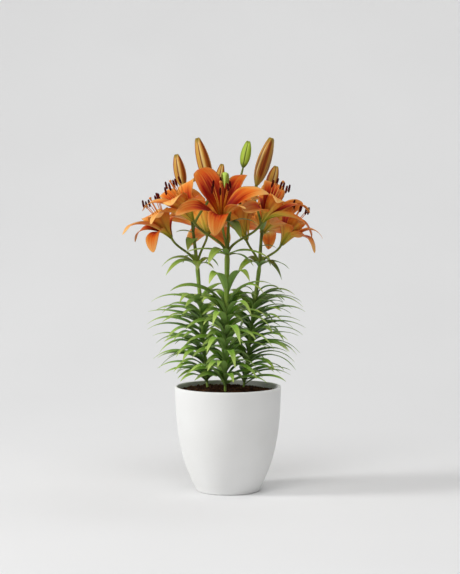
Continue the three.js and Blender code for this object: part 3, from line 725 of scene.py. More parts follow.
def makePeat(name, dark, light):
    look = peatLook
    material, tree, shader = newMaterial(name)
    fine = mottle(tree, 1100, 4)
    base = mixColours(tree, mottle(tree, 160, 6), dark, light)
    # Painted shade: a fine noise darkens the peat towards the hollow colour
    base = tint(tree, fine, look["hollowShadeShare"], base, look["hollow"])
    feed(tree, shader["Base Color"], base)
    feed(tree, shader["Roughness"], mapRange(tree, fine, 0, 1, *look["roughness"]))
    feed(tree, shader["Specular IOR Level"], look["specular"])
    feed(tree, shader["Normal"], bumpNode(tree, fine, *look["relief"]))
    return material


leafLook = {
    "upper": [(0.0, colour(124, 164, 52)), (0.2, colour(102, 156, 36)), (0.6, colour(136, 190, 46)),
              (1.0, colour(212, 228, 124))],
    # deep green for high shades: darker leaves at random, and painted shade on the right plant and the core
    "deepAndShaded": [(0.0, colour(58, 92, 24)), (0.3, colour(30, 64, 10)), (1.0, colour(84, 120, 48))],
    "lower": [(0.0, colour(130, 160, 84)), (0.6, colour(134, 166, 90)), (1.0, colour(162, 186, 106))],
    # pale green for low shades: fresh on leaves reaching towards the viewer, painted light on the left
    # plant
    "freshAndLit": colour(176, 214, 116), "freshAndLitBelow": 0.14, "freshAndLitShare": 0.4,
    "deepAndShadedFrom": 0.25, "deepAndShadedShare": 0.8,
    "streak": colour(52, 92, 28), "streakShare": 0.3, "patch": colour(150, 180, 76), "patchShare": 0.2,
    "rib": colour(166, 186, 96), "ribWidth": 0.09, "edgeFrom": 0.8, "ribShare": 0.45,
    "olive": colour(104, 114, 40), "oliveFrom": 0.3, "oliveTo": 0.37, "oliveShare": 0.45,
    "pale": colour(196, 222, 84), "veins": {"Count": 8, "Fineness": 9},
    "roughness": (0.38, 0.5), "specular": 0.3, "relief": (0.3, 0.0003),
}


def makeLeafGreen(name, pale):
    look = leafLook
    material, tree, shader = newMaterial(name)
    across = attributeNode(tree, "across")
    along = attributeNode(tree, "along")
    shade = attributeNode(tree, "shade")
    veins = placeGroup(tree, veinGroup, {"Across": across, "Along": along, "Shade": shade, **look["veins"]})
    # Pale green where the shade is low: fresh leaves towards the viewer, and painted light on the left
    # plant
    freshAndLit = mapRange(tree, shade, look["freshAndLitBelow"], 0.0, 0.0, look["freshAndLitShare"])
    upper = mixColours(tree, freshAndLit, ramp(tree, along, look["upper"]), look["freshAndLit"])
    # Deep green where the shade is high: darker leaves at random, and painted shade on the right plant and
    # core
    deepAndShaded = mapRange(tree, shade, look["deepAndShadedFrom"], 1, 0, look["deepAndShadedShare"])
    upper = mixColours(tree, deepAndShaded, upper, ramp(tree, along, look["deepAndShaded"]))
    base = mixColours(tree, attributeNode(tree, "underside"), upper, ramp(tree, along, look["lower"]))
    base = tint(tree, veins["Streaks"], look["streakShare"], base, look["streak"])
    base = tint(tree, mottle(tree, 60, 3), look["patchShare"], base, look["patch"])
    spread = mathNode(tree, "ABSOLUTE", across)
    rib = mapRange(tree, spread, 0.0, look["ribWidth"], look["ribShare"], 0.0)
    edge = mapRange(tree, spread, look["edgeFrom"], 1.0, 0.0, look["ribShare"])
    base = mixColours(tree, mathNode(tree, "MAXIMUM", rib, edge), base, look["rib"])
    where = tree.nodes.new("ShaderNodeTexCoord").outputs["Object"]
    height = separate(tree, where)["Z"]
    olive = mapRange(tree, height, look["oliveFrom"], look["oliveTo"], 0.0, look["oliveShare"])
    base = mixColours(tree, olive, base, look["olive"])
    base = mixColours(tree, pale, base, look["pale"])
    feed(tree, shader["Base Color"], base)
    feed(tree, shader["Roughness"], mapRange(tree, veins["Streaks"], 0, 1, *look["roughness"]))
    feed(tree, shader["Specular IOR Level"], look["specular"])
    feed(tree, shader["Normal"], bumpNode(tree, veins["Veins"], *look["relief"]))
    return material


stalkLook = {                                   # pairs of shades: low on the stem, and above the nodes
    "dark": (colour(104, 134, 40), colour(62, 72, 12)),
    "light": (colour(140, 168, 66), colour(116, 132, 38)),
    "pale": (colour(174, 196, 102), colour(144, 154, 62)),
    "paleShare": 0.5, "changeFrom": 0.3, "changeTo": 0.35, "fibres": (700.0, 700.0, 30.0),
    "roughness": (0.42, 0.56), "specular": 0.28, "relief": (0.25, 0.0003),
}


def makeStalkGreen():
    look = stalkLook
    material, tree, shader = newMaterial("stalkGreen")
    where = tree.nodes.new("ShaderNodeTexCoord").outputs["Object"]
    stretched = addNode(tree, "ShaderNodeMapping", {"Vector": where, "Scale": look["fibres"]})
    fibres = addNode(tree, "ShaderNodeTexNoise", {
        "Vector": stretched.outputs[0], "Scale": 1.0, "Detail": 3.0}).outputs[0]
    height = separate(tree, where)["Z"]
    upper = mapRange(tree, height, look["changeFrom"], look["changeTo"], 0.0, 1.0, "SMOOTHSTEP")
    dark, light, pale = [mixColours(tree, upper, *look[key]) for key in ("dark", "light", "pale")]
    base = mixColours(tree, mottle(tree, 45, 4), light, dark)
    base = mixColours(tree, mapRange(tree, fibres, 0.35, 0.7, 0.0, look["paleShare"]), base, pale)
    feed(tree, shader["Base Color"], base)
    feed(tree, shader["Roughness"], mapRange(tree, fibres, 0.3, 0.7, *look["roughness"]))
    feed(tree, shader["Specular IOR Level"], look["specular"])
    feed(tree, shader["Normal"], bumpNode(tree, fibres, *look["relief"]))
    return material


tepalLook = {
    "upper": [
        (0.0, colour(182, 116, 20)), (0.11, colour(184, 88, 10)), (0.21, colour(150, 30, 2)),
        (0.33, colour(124, 2, 2)), (0.45, colour(152, 20, 4)), (0.57, colour(202, 72, 14)),
        (0.72, colour(228, 124, 38)), (0.88, colour(240, 164, 80)), (1.0, colour(246, 188, 110))],
    "lower": [
        (0.0, colour(112, 126, 28)), (0.14, colour(172, 164, 52)), (0.3, colour(220, 172, 68)),
        (0.5, colour(226, 142, 52)), (0.66, colour(218, 104, 34)), (0.82, colour(232, 136, 58)),
        (1.0, colour(244, 178, 100))],
    "flame": 0.21, "paleShift": 0.1, "redShift": -0.13, "streakShift": 0.2,     # what moves the zones
    "ripe": colour(178, 76, 16), "ripeShare": 0.8, "margin": colour(234, 164, 76), "marginShare": 0.5,
    "rib": colour(172, 72, 36), "ribShare": 0.55, "gold": colour(212, 150, 58), "goldShare": 0.35,
    "vein": colour(138, 40, 10), "veinShare": 0.14, "veins": {"Count": 11, "Fineness": 6},
    "roughness": (0.44, 0.6), "specular": 0.08, "relief": (0.22, 0.0003),
    "glow": 0.12, "glowRadius": (1.0, 0.35, 0.1), "glowScale": 0.002,
}


def makeTepalOrange():
    look = tepalLook
    material, tree, shader = newMaterial("orangeTepal")
    across = attributeNode(tree, "across")
    along = attributeNode(tree, "along")
    shade = attributeNode(tree, "shade")
    spread = mathNode(tree, "ABSOLUTE", across)
    veins = placeGroup(tree, veinGroup, {"Across": across, "Along": along, "Shade": shade, **look["veins"]})
    flame = multiply(tree, power(tree, spread, 2.0), look["flame"])
    flame = plus(tree, flame, mapRange(tree, shade, 0, 1, look["paleShift"], look["redShift"]))
    streaks = multiply(tree, minus(tree, veins["Streaks"], 0.5), look["streakShift"])
    zone = plus(tree, along, plus(tree, flame, streaks))
    ripe = mapRange(tree, shade, 0.4, 1, 0, look["ripeShare"])
    ripe = multiply(tree, mapRange(tree, zone, 0.5, 0.7), ripe)
    upper = mixColours(tree, ripe, ramp(tree, zone, look["upper"]), look["ripe"])
    margin = mapRange(tree, spread, 0.68, 1.0, 0.0, look["marginShare"], "SMOOTHSTEP")
    margin = multiply(tree, margin, mapRange(tree, shade, 0.3, 1, 1, 0.5))
    margin = multiply(tree, margin, mapRange(tree, along, 0.2, 0.6, 0.15, 1.0))
    upper = mixColours(tree, margin, upper, look["margin"])
    rib = mapRange(tree, spread, 0.0, 0.3, look["ribShare"], 0.0, "SMOOTHSTEP")
    rib = multiply(tree, rib, mapRange(tree, along, 0.1, 0.4, 0.2, 1.0))
    lower = mixColours(tree, rib, ramp(tree, zone, look["lower"]), look["rib"])
    base = mixColours(tree, attributeNode(tree, "underside"), upper, lower)
    outer = mapRange(tree, along, 0.3, 0.6, 0, look["goldShare"])
    gold = multiply(tree, mapRange(tree, veins["Streaks"], 0.45, 1), outer)
    base = mixColours(tree, gold, base, look["gold"])
    base = tint(tree, veins["Veins"], look["veinShare"], base, look["vein"])
    feed(tree, shader["Base Color"], base)
    feed(tree, shader["Roughness"], mapRange(tree, veins["Streaks"], 0, 1, *look["roughness"]))
    feed(tree, shader["Specular IOR Level"], look["specular"])
    feed(tree, shader["Subsurface Weight"], look["glow"])
    feed(tree, shader["Subsurface Radius"], look["glowRadius"])
    feed(tree, shader["Subsurface Scale"], look["glowScale"])
    feed(tree, shader["Normal"], bumpNode(tree, veins["Veins"], *look["relief"]))
    return material


threadLook = {
    "length": [(0.0, colour(204, 128, 20)), (0.5, colour(226, 150, 36)), (1.0, colour(210, 108, 30))],
    "patch": colour(226, 156, 62), "patchShare": 0.3, "roughness": (0.4, 0.55),
}


def makeThreadOrange():
    look = threadLook
    material, tree, shader = newMaterial("filamentOrange")
    patch = mottle(tree, 260, 3)
    base = ramp(tree, attributeNode(tree, "along"), look["length"])
    base = tint(tree, patch, look["patchShare"], base, look["patch"])
    feed(tree, shader["Base Color"], base)
    feed(tree, shader["Roughness"], mapRange(tree, patch, 0, 1, *look["roughness"]))
    return material


antherLook = {
    "dark": colour(50, 5, 4), "light": colour(90, 14, 8), "pollen": colour(90, 20, 10), "pollenShare": 0.25,
    "roughness": (0.75, 0.95), "specular": 0.1, "relief": (0.5, 0.0002),
}


def makeAntherMaroon():
    look = antherLook
    material, tree, shader = newMaterial("antherMaroon")
    grain = mottle(tree, 1500, 4)
    base = mixColours(tree, mottle(tree, 220, 3), look["dark"], look["light"])
    base = tint(tree, grain, look["pollenShare"], base, look["pollen"])
    feed(tree, shader["Base Color"], base)
    feed(tree, shader["Roughness"], mapRange(tree, grain, 0, 1, *look["roughness"]))
    feed(tree, shader["Specular IOR Level"], look["specular"])
    feed(tree, shader["Normal"], bumpNode(tree, grain, *look["relief"]))
    return material


budLook = {
    "ripe": {"bands": [
        (0.0, colour(122, 50, 18)), (0.04, colour(130, 58, 20)), (0.1, colour(250, 222, 146)),
        (0.24, colour(232, 180, 86)), (0.38, colour(178, 94, 14)), (0.52, colour(122, 48, 6)),
        (0.6, colour(164, 82, 12)), (0.7, colour(226, 174, 72)), (0.95, colour(218, 168, 76)),
        (1.0, colour(120, 46, 12))],
        "streak": colour(108, 38, 8), "foot": colour(170, 146, 56), "tip": colour(146, 126, 40)},
    "green": {"bands": [
        (0.0, colour(66, 78, 14)), (0.04, colour(84, 98, 20)), (0.1, colour(186, 204, 86)),
        (0.3, colour(172, 196, 58)), (0.5, colour(134, 156, 30)), (0.75, colour(168, 192, 62)),
        (0.94, colour(186, 204, 90)), (1.0, colour(66, 78, 14))],
        "streak": colour(138, 158, 36), "foot": colour(96, 108, 26), "tip": colour(128, 138, 36)},
    "veins": {"Count": 9, "Fineness": 10}, "drift": 0.07, "streakShares": (0.15, 0.9), "tipShare": 0.9,
    "footEnd": 0.24, "tipStart": 0.86, "roughness": (0.42, 0.56), "specular": 0.2, "relief": (0.3, 0.0004),
}


# Bud skin: the same bands across each of the three outer tepals, from seam to seam
def makeBudSkin(name, shades):
    look = budLook
    material, tree, shader = newMaterial(name)
    along = attributeNode(tree, "along")
    around = mathNode(tree, "ARCTAN2", attributeNode(tree, "ringY"), attributeNode(tree, "ringX"))
    turn = mathNode(tree, "DIVIDE", around, math.tau / 3)
    veins = placeGroup(tree, veinGroup, {"Across": turn, "Along": along, **look["veins"]})
    drift = multiply(tree, minus(tree, veins["Streaks"], 0.5), look["drift"])
    band = mathNode(tree, "FRACT", plus(tree, plus(tree, turn, 4.5), drift))
    blush = mapRange(tree, attributeNode(tree, "shade"), 0, 1, *look["streakShares"])
    base = tint(tree, veins["Streaks"], blush, ramp(tree, band, shades["bands"]), shades["streak"])
    low = mapRange(tree, along, 0.03, look["footEnd"], 1.0, 0.0, "SMOOTHSTEP")
    base = mixColours(tree, low, base, shades["foot"])
    high = mapRange(tree, along, look["tipStart"], 1.0, 0.0, look["tipShare"], "SMOOTHSTEP")
    base = mixColours(tree, high, base, shades["tip"])
    feed(tree, shader["Base Color"], base)
    feed(tree, shader["Roughness"], mapRange(tree, veins["Streaks"], 0, 1, *look["roughness"]))
    feed(tree, shader["Specular IOR Level"], look["specular"])
    feed(tree, shader["Normal"], bumpNode(tree, veins["Veins"], *look["relief"]))
    return material


whiteCeramic = makeCeramic()
peatBed = makePeat("peatBed", colour(36, 18, 9), colour(70, 42, 24))
peatCrumbs = makePeat("peatCrumbs", colour(46, 25, 13), colour(116, 78, 50))
leafGreen = makeLeafGreen("leafGreen", 0.0)
bractGreen = makeLeafGreen("bractGreen", 0.6)
stalkGreen = makeStalkGreen()
orangeTepal = makeTepalOrange()
filamentOrange = makeThreadOrange()
antherMaroon = makeAntherMaroon()
ripeBud = makeBudSkin("ripeBud", budLook["ripe"])
greenBud = makeBudSkin("greenBud", budLook["green"])
print("materials made")


# Pot: the part's own wall curve, turned finely, with a rounder foot and a shallow recess underneath

pot = {
    "rimRadius": 75, "baseRadius": 45.5, "height": 148, "wall": 4, "floor": 7, "footRadius": 3.0,
    "belly": (4.8, 50), "shoulder": (1.8, 89), "innerCorner": 5, "recess": 1.2, "ringWidth": (5, 6),
    "sides": 160, "wallSteps": 40, "footSteps": 8, "lipSteps": 10,
}


def wallCurve(inset, bottomRadius, bottom, steps):
    points = [
        (bottomRadius, bottom),
        (pot["rimRadius"] - pot["belly"][0] - inset, pot["belly"][1]),
        (pot["rimRadius"] - pot["shoulder"][0] - inset, pot["shoulder"][1]),
        (pot["rimRadius"] - inset, pot["height"] - pot["wall"] / 2),
    ]
    return [tuple(bezier(points, step / steps)) for step in range(steps + 1)]


def arc(centre, radius, start, end, steps):
    angles = [math.radians(mix(start, end, step / steps)) for step in range(steps + 1)]
    return [(centre[0] + radius * math.cos(a), centre[1] + radius * math.sin(a)) for a in angles]


# Closed surface from an outline of (radius, height) whose two ends lie on the axis
def turned(name, outline, sides):
    ring = outline[1:-1]
    vertices = [(0, 0, outline[0][1])]
    for radius, height in ring:
        for side in range(sides):
            angle = 2 * math.pi * side / sides
            vertices.append((radius * math.cos(angle), radius * math.sin(angle), height))
    vertices.append((0, 0, outline[-1][1]))
    last = len(vertices) - 1
    faces = []
    for side in range(sides):
        after = (side + 1) % sides
        faces.append((0, 1 + after, 1 + side))
        for level in range(len(ring) - 1):
            low = 1 + level * sides
            high = low + sides
            faces.append((low + side, low + after, high + after, high + side))
        top = 1 + (len(ring) - 1) * sides
        faces.append((top + side, top + after, last))
    return meshObject(name, vertices, (), faces)


def makePot():
    lip = pot["wall"] / 2
    foot = pot["footRadius"]
    outerRing, innerRing = [pot["baseRadius"] - width for width in pot["ringWidth"]]
    outline = [(0, pot["recess"]), (innerRing, pot["recess"]), (outerRing, 0)]
    outline += arc((pot["baseRadius"] - foot, foot), foot, -90, -20, pot["footSteps"])
    outline += wallCurve(0, pot["baseRadius"], foot, pot["wallSteps"])
    outline += arc((pot["rimRadius"] - lip, pot["height"] - lip), lip, 0, 180, pot["lipSteps"])[1:-1]
    inside = wallCurve(pot["wall"], pot["baseRadius"], pot["floor"] + pot["innerCorner"], pot["wallSteps"])
    outline += inside[::-1]
    outline += [(pot["baseRadius"] - foot, pot["floor"]), (0, pot["floor"])]
    obj = turned("pot_glazed", outline, pot["sides"])
    obj.data.materials.append(whiteCeramic)
    finishPiece(obj, "white_ceramic", "pot")


makePot()
print("pot made")


# Soil: a bed with a crumbly top, and loose crumbs and fibres on it

soil = {
    "edgeLevel": 141, "edgeClearance": 0.4, "heap": 3, "lump": 1.2, "rearDip": 3.5, "rearAngle": 0.8,
    "rings": 46, "sides": 140, "grain": 1.6, "grainScale": 0.22, "wallGap": 0.1, "floorGap": 0.2,
    "wallSteps": 12, "skirt": 10,
}
crumbs = {"Density": 136000.0, "Smallest": 0.0005, "Largest": 0.0018, "Seed": 5}
crumbShape = {"flattest": (0.7, 0.6, 0.5), "fullest": (1.3, 1.1, 0.9), "turns": (6.28, 6.28, 6.28),
              "roughScale": 900.0, "roughness": 0.0016, "steepest": 0.2, "smallShare": 3.0,
              "reachDown": 8, "turnSeed": 3, "shapeSeed": 9}
fibres = {
    "count": 90, "length": 9, "radius": 0.28, "seed": 77, "reach": 66, "limit": 69, "lift": 0.7, "steps": 4,
}


# Heaped in the middle, with broad lumps, a dip at the rear of the wall and a fine grain
def soilHeight(x, y):
    distance = math.hypot(x, y) / pot["rimRadius"]
    heap = soil["heap"] * (1 - distance ** 2)
    lumps = math.sin(x * 0.31 + 1.3) * math.cos(y * 0.27 - 0.4) + 0.6 * math.sin(x * 0.13 - y * 0.21)
    rear = max(0, math.cos(math.atan2(y, x) - soil["rearAngle"])) ** 3 * distance ** 4
    grain = noise.fractal(Vector((x, y, 0)) * soil["grainScale"], 1.0, 2.0, 4) * soil["grain"]
    lumps *= 1 - distance ** 6
    return soil["edgeLevel"] + heap + soil["lump"] * lumps - soil["rearDip"] * rear + grain


def makeSoil():
    edge = pot["rimRadius"] - pot["wall"] - soil["edgeClearance"]
    wall = wallCurve(pot["wall"] + soil["wallGap"], pot["baseRadius"] - soil["wallGap"],
                     pot["floor"] + pot["innerCorner"], soil["wallSteps"])
    under = pot["floor"] + soil["floorGap"]
    outline = [(0, under), (pot["baseRadius"] - pot["wall"] / 2, under)]
    outline += [point for point in wall if point[1] < soil["edgeLevel"] - soil["skirt"]]
    levels = [edge * (1 - ring / soil["rings"]) for ring in range(soil["rings"])]
    outline += [(radius, soil["edgeLevel"]) for radius in levels] + [(0, soil["edgeLevel"])]
    obj = turned("soil_bed", outline, soil["sides"])
    for vertex in obj.data.vertices:
        x, y, z = vertex.co / metre
        if z > soil["edgeLevel"] - 0.01:
            vertex.co.z = soilHeight(x, y) * metre
    obj.data.materials.append(peatBed)
    return obj


def makeCrumbTree():
    tree, given = geometryTree("looseCrumbs", [
        ("Density", "float"), ("Smallest", "float"), ("Largest", "float"), ("Seed", "int"),
        ("Material", "material")])
    shape = crumbShape
    position = addNode(tree, "GeometryNodeInputPosition").outputs[0]
    normal = addNode(tree, "GeometryNodeInputNormal").outputs[0]
    height = separate(tree, position)["Z"]
    facing = separate(tree, normal)["Z"]
    onTop = mathNode(tree, "GREATER_THAN", height, (soil["edgeLevel"] - shape["reachDown"]) * metre)
    onTop = multiply(tree, onTop, mathNode(tree, "GREATER_THAN", facing, shape["steepest"]))
    spots = addNode(tree, "GeometryNodeDistributePointsOnFaces", {
        "Mesh": given["Geometry"], "Selection": onTop, "Density": given["Density"], "Seed": given["Seed"]})
    ball = addNode(tree, "GeometryNodeMeshIcoSphere", {"Radius": 1.0, "Subdivisions": 2})
    chance = addNode(tree, "FunctionNodeRandomValue", {2: 0.0, 3: 1.0, "Seed": given["Seed"]},
                     data_type="FLOAT")
    largeness = power(tree, chance.outputs[1], shape["smallShare"])
    size = mixValues(tree, largeness, given["Smallest"], given["Largest"])
    turn = addNode(tree, "FunctionNodeRandomValue", {
        0: (0.0, 0.0, 0.0), 1: shape["turns"], "Seed": shape["turnSeed"]}, data_type="FLOAT_VECTOR")
    rotation = addNode(tree, "FunctionNodeEulerToRotation", {0: turn.outputs[0]})
    flat = addNode(tree, "FunctionNodeRandomValue", {
        0: shape["flattest"], 1: shape["fullest"], "Seed": shape["shapeSeed"]}, data_type="FLOAT_VECTOR")
    copies = addNode(tree, "GeometryNodeInstanceOnPoints", {
        "Points": spots.outputs["Points"], "Instance": ball.outputs["Mesh"],
        "Rotation": rotation.outputs[0], "Scale": scaleNode(tree, flat.outputs[0], size)})
    lumps = addNode(tree, "GeometryNodeRealizeInstances", {"Geometry": copies.outputs[0]}).outputs[0]
    rough = addNode(tree, "ShaderNodeTexNoise", {
        "Vector": position, "Scale": shape["roughScale"], "Detail": 2.0})
    push = vectorNode(tree, "SUBTRACT", rough.outputs["Color"], (0.5, 0.5, 0.5))
    lumps = addNode(tree, "GeometryNodeSetPosition", {
        "Geometry": lumps, "Offset": scaleNode(tree, push, shape["roughness"])}).outputs[0]
    endTree(tree, lumps, given["Material"])
    return tree


def makeCrumbs(bed):
    obj = meshObject("soil_crumbs", [])
    obj.data = bed.data.copy()
    growMesh(obj, makeCrumbTree(), {**crumbs, "Material": peatCrumbs})
    return obj


def makeFibres():
    random = seededRandom(fibres["seed"])
    paths = []
    steps = fibres["steps"]
    for _ in range(fibres["count"]):
        angle = 2 * math.pi * random()
        reach = fibres["reach"] * math.sqrt(random())
        heading = 2 * math.pi * random()
        length = fibres["length"] * (0.4 + random())
        bend = random() - 0.5
        path = []
        for step in range(steps + 1):
            way = heading + bend * step / steps
            x = reach * math.cos(angle) + length * (step / steps - 0.5) * math.cos(way)
            y = reach * math.sin(angle) + length * (step / steps - 0.5) * math.sin(way)
            if math.hypot(x, y) < fibres["limit"]:
                point = Vector((x, y, soilHeight(x, y) + fibres["lift"]))
                path.append((point, fibres["radius"] * (1.2 - 0.15 * step)))
        if len(path) > 2:
            paths.append(path)
    obj = sweepSource("soil_fibres", paths)
    return growMesh(obj, sweepTree, {"Sides": 5, "Material": peatCrumbs})


soilBed = makeSoil()
soilCrumbs = makeCrumbs(soilBed)
soilFibres = makeFibres()
finishPiece(soilBed, "peat", "soil")
finishPiece(soilCrumbs, "peat")
finishPiece(soilFibres, "peat")
print("soil made:", len(soilCrumbs.data.polygons), "crumb faces")


# Leaves: the part's leaves, more of them between, and steep ones that hide the stem

leaf = {
    "length": 80, "width": 14, "rearCount": 14, "rearSpread": 170, "lowest": 154, "lowRise": 24,
    "highRise": 36, "droop": 28, "steepest": 52, "lowestTip": 151, "tilt": 0.2, "rootDepth": 0.45,
    "turnJitter": 24, "riseJitter": 16, "riseStep": 4, "shrink": 0.94, "shortest": 20, "clearance": 1,
    "bends": ((0.38, 0), (0.74, 0.4), (0.93, 1)),    # share of the length, share of the droop
    "archFrom": 0.3, "archTo": 0.72, "testSteps": 10,
    "firstShade": 0.3, "freshShade": 0.08, "freshFrom": -55, "freshAt": -78,
}
moreLeaves = {"count": 24, "length": 62, "width": 13, "spread": 290, "lowestTip": 162, "seedShift": 500}
clasping = {
    "count": 15, "length": 44, "width": 15, "lowest": 150, "belowTop": 12, "turns": (35, 80), "rise": 66,
    "droop": 52, "coreShadeFrom": 0.7, "seedShift": 900,
}
leafBlade = {
    "Columns": 9, "Rows": 22, "Thickness": 0.0007, "Base Width": 0.4, "Widest At": 0.36, "Tip Power": 2.4,
    "Tip Round": 0.9, "Cup Base": 0.32, "Cup Tip": 0.13, "Cup Power": 1.0, "Midrib": 0.0003,
    "Ruffle": 0.35, "Ruffle Scale": 3.0, "Twist": 0.5, "Seed": 4,
}
bract = ((-3, -18, 381), (-4.6, -50, 427), 13, 55)    # root, tip, width, arch
bractBlade = {"Widest At": 0.5, "Tip Power": 2.4, "Cup Base": -0.5, "Cup Tip": -0.25, "Cup Power": 2.0}
stem = {
    "footRadius": 1.7, "radius": 3.2, "shootRadius": 2.0, "stalkRadius": 1.65, "seatRadius": 1.8,
    "holeBottom": 112, "sides": 20, "steps": 30, "shootSteps": 8, "stalkSteps": 16,
    "leaveRise": 0.3, "leaveShare": 0.15, "arriveShare": 0.35, "rootSwell": 0.5,    # shares of a stalk
    "cup": ((2, 2.3), (5, 2.6), (9, 2.4), (12, 1.6)),    # height above the seat and radius, inside a bloom
}


# Middle of a stem at a height
def stemPoint(plant, height):
    foot = Vector(plant["foot"])
    node = Vector(plant["node"])
    return foot.lerp(node, (height - foot.z) / (node.z - foot.z))


# Share of a leaf's width along it, as the blade tree has it
def leafOutline(along):
    swell = mix(leafBlade["Base Width"], 1, smoothStep(0, leafBlade["Widest At"], along))
    return swell * (1 - along ** leafBlade["Tip Power"]) ** leafBlade["Tip Round"]


def leafSpine(root, azimuth, rise, droop, length):
    outward = Vector((math.cos(azimuth), math.sin(azimuth), 0))

    def reach(share, angle):
        angle = math.radians(angle)
        away = outward * (length * share * math.cos(angle))
        return root + away + upAxis * (length * share * math.sin(angle))
    return [root] + [reach(share, rise - bent * droop) for share, bent in leaf["bends"]]


# True if a leaf keeps to its own stem's side of the others and stays above the pot's rim
def leafIsClear(plant, spine, halfWidth, lowest):
    for step in range(1, leaf["testSteps"] + 1):
        along = min(step / leaf["testSteps"], 0.9999)
        point = bezier(spine, along)
        if point.z < lowest:
            return False
        own = stemPoint(plant, point.z)
        room = halfWidth * leafOutline(along) + leaf["clearance"]
        for other in plants.values():
            if other is plant:
                continue
            apart = stemPoint(other, point.z) - own
            middle = own + apart * 0.5
            if apart.normalized().dot(middle - point) < room:
                return False
    return True


# Raises a leaf, and then shortens it, until it is clear
def clearSpine(plant, root, azimuth, rise, droop, length, halfWidth, lowest):
    spine = leafSpine(root, azimuth, rise, droop, length)
    while not leafIsClear(plant, spine, halfWidth, lowest) and length > leaf["shortest"]:
        if rise < leaf["steepest"]:
            rise += leaf["riseStep"]
        else:
            length *= leaf["shrink"]
        spine = leafSpine(root, azimuth, rise, droop, length)
    return spine


# Across the leaf, with the nearer margin let down so that the upper face shows
def leafSide(direction):
    side = direction.cross(upAxis).normalized()
    side.z = leaf["tilt"] * side.y
    return side


# Leaves that follow each other up the stem and fan out round the plant's turn
def fannedLeaves(plant, count, seed, spread, longest, widest, lowest):
    random = seededRandom(seed)
    leaves = []
    for index in range(count):
        share = index / (count - 1)
        fan = (index * goldenShare) % 1 - 0.5
        azimuth = math.radians(plant["turn"] + spread * fan + leaf["turnJitter"] * (random() - 0.5))
        outward = Vector((math.cos(azimuth), math.sin(azimuth), 0))
        root = stemPoint(plant, mix(leaf["lowest"], plant["top"], share))
        root += outward * (stem["radius"] * leaf["rootDepth"])
        fullness = 0.8 + 0.2 * math.sin(math.pi * share)    # longest half-way up
        length = longest * fullness * (0.9 + 0.2 * random())
        width = widest * (0.88 + 0.24 * random())
        rise = mix(leaf["lowRise"], leaf["highRise"], share) + leaf["riseJitter"] * (random() - 0.5)
        droop = leaf["droop"] + leaf["riseJitter"] * (random() - 0.5)
        spine = clearSpine(plant, root, azimuth, rise, droop, length, width / 2, lowest)
        shade = (index * goldenShare) % 1
        leaves.append({"spine": spine, "side": leafSide(outward), "width": width, "shade": shade})
    return leaves


# Steep leaves that clasp the stem on the near side, to its left and right by turns; their deep green is
# painted shade of the plant's crowded core
def claspingLeaves(plant):
    random = seededRandom(plant["seed"] + clasping["seedShift"])
    leaves = []
    for index in range(clasping["count"]):
        share = index / (clasping["count"] - 1)
        sign = 1 if index % 2 else -1
        azimuth = math.radians(-90 + sign * mix(*clasping["turns"], random()))
        outward = Vector((math.cos(azimuth), math.sin(azimuth), 0))
        root = stemPoint(plant, mix(clasping["lowest"], plant["top"] - clasping["belowTop"], share))
        root += outward * stem["footRadius"] * 0.5
        length = clasping["length"] * (0.8 + 0.4 * random())
        width = clasping["width"] * (0.85 + 0.3 * random())
        rise = clasping["rise"] + 10 * random()
        droop = clasping["droop"] + leaf["riseJitter"] * random()
        spine = leafSpine(root, azimuth, rise, droop, length)
        # painted shade: a high shade gives these leaves the deep green of the shaded core
        shade = clasping["coreShadeFrom"] + 0.3 * random()
        leaves.append({"spine": spine, "side": leafSide(outward), "width": width, "shade": shade})
    return leaves


# A leaf from its root to its tip, fresher green where it reaches towards the viewer
def singleLeaf(index, root, tip, width, arch):
    start = Vector(root)
    end = Vector(tip)
    middle = [start.lerp(end, leaf[share]) + upAxis * arch for share in ("archFrom", "archTo")]
    spine = [start, *middle, end]
    nearness = smoothStep(leaf["freshFrom"], leaf["freshAt"], end.y)
    shade = mix((leaf["firstShade"] + index * goldenShare) % 1, leaf["freshShade"], nearness)
    return {"spine": spine, "side": leafSide(end - start), "width": width, "shade": shade}


def makeLeaves(plantName):
    plant = plants[plantName]
    blades = fannedLeaves(plant, leaf["rearCount"], plant["seed"], leaf["rearSpread"],
                          leaf["length"], leaf["width"], leaf["lowestTip"])
    blades += fannedLeaves(plant, moreLeaves["count"], plant["seed"] + moreLeaves["seedShift"],
                           moreLeaves["spread"], moreLeaves["length"], moreLeaves["width"],
                           moreLeaves["lowestTip"])
    blades += claspingLeaves(plant)
    blades += [singleLeaf(index, stemPoint(plant, height), *values)
               for index, (height, *values) in enumerate(frontLeaves[plantName])]
    blades += [singleLeaf(index, *values) for index, values in enumerate(singleLeaves[plantName])]
    # Painted light and shade: each plant's depth pales or darkens its leaves by where it stands to the key
    # light
    for blade in blades:
        blade["shade"] *= plant["depth"]
    obj = bladeSource("leaves_" + plantName, blades)
    growMesh(obj, bladeTree, {**leafBlade, "Material": leafGreen})
    finishPiece(obj, "leaf_green", "stem_" + plantName)


# The pale bract that hangs over the middle bloom
def makeBract():
    blade = singleLeaf(0, *bract)
    blade["shade"] = 0
    obj = bladeSource("bract_centre", [blade])
    growMesh(obj, bladeTree, {**leafBlade, **bractBlade, "Material": bractGreen})
    finishPiece(obj, "leaf_green")


for plantName in plants:
    makeLeaves(plantName)
makeBract()
print("leaves made")


# Stems and the stalks of blooms and buds

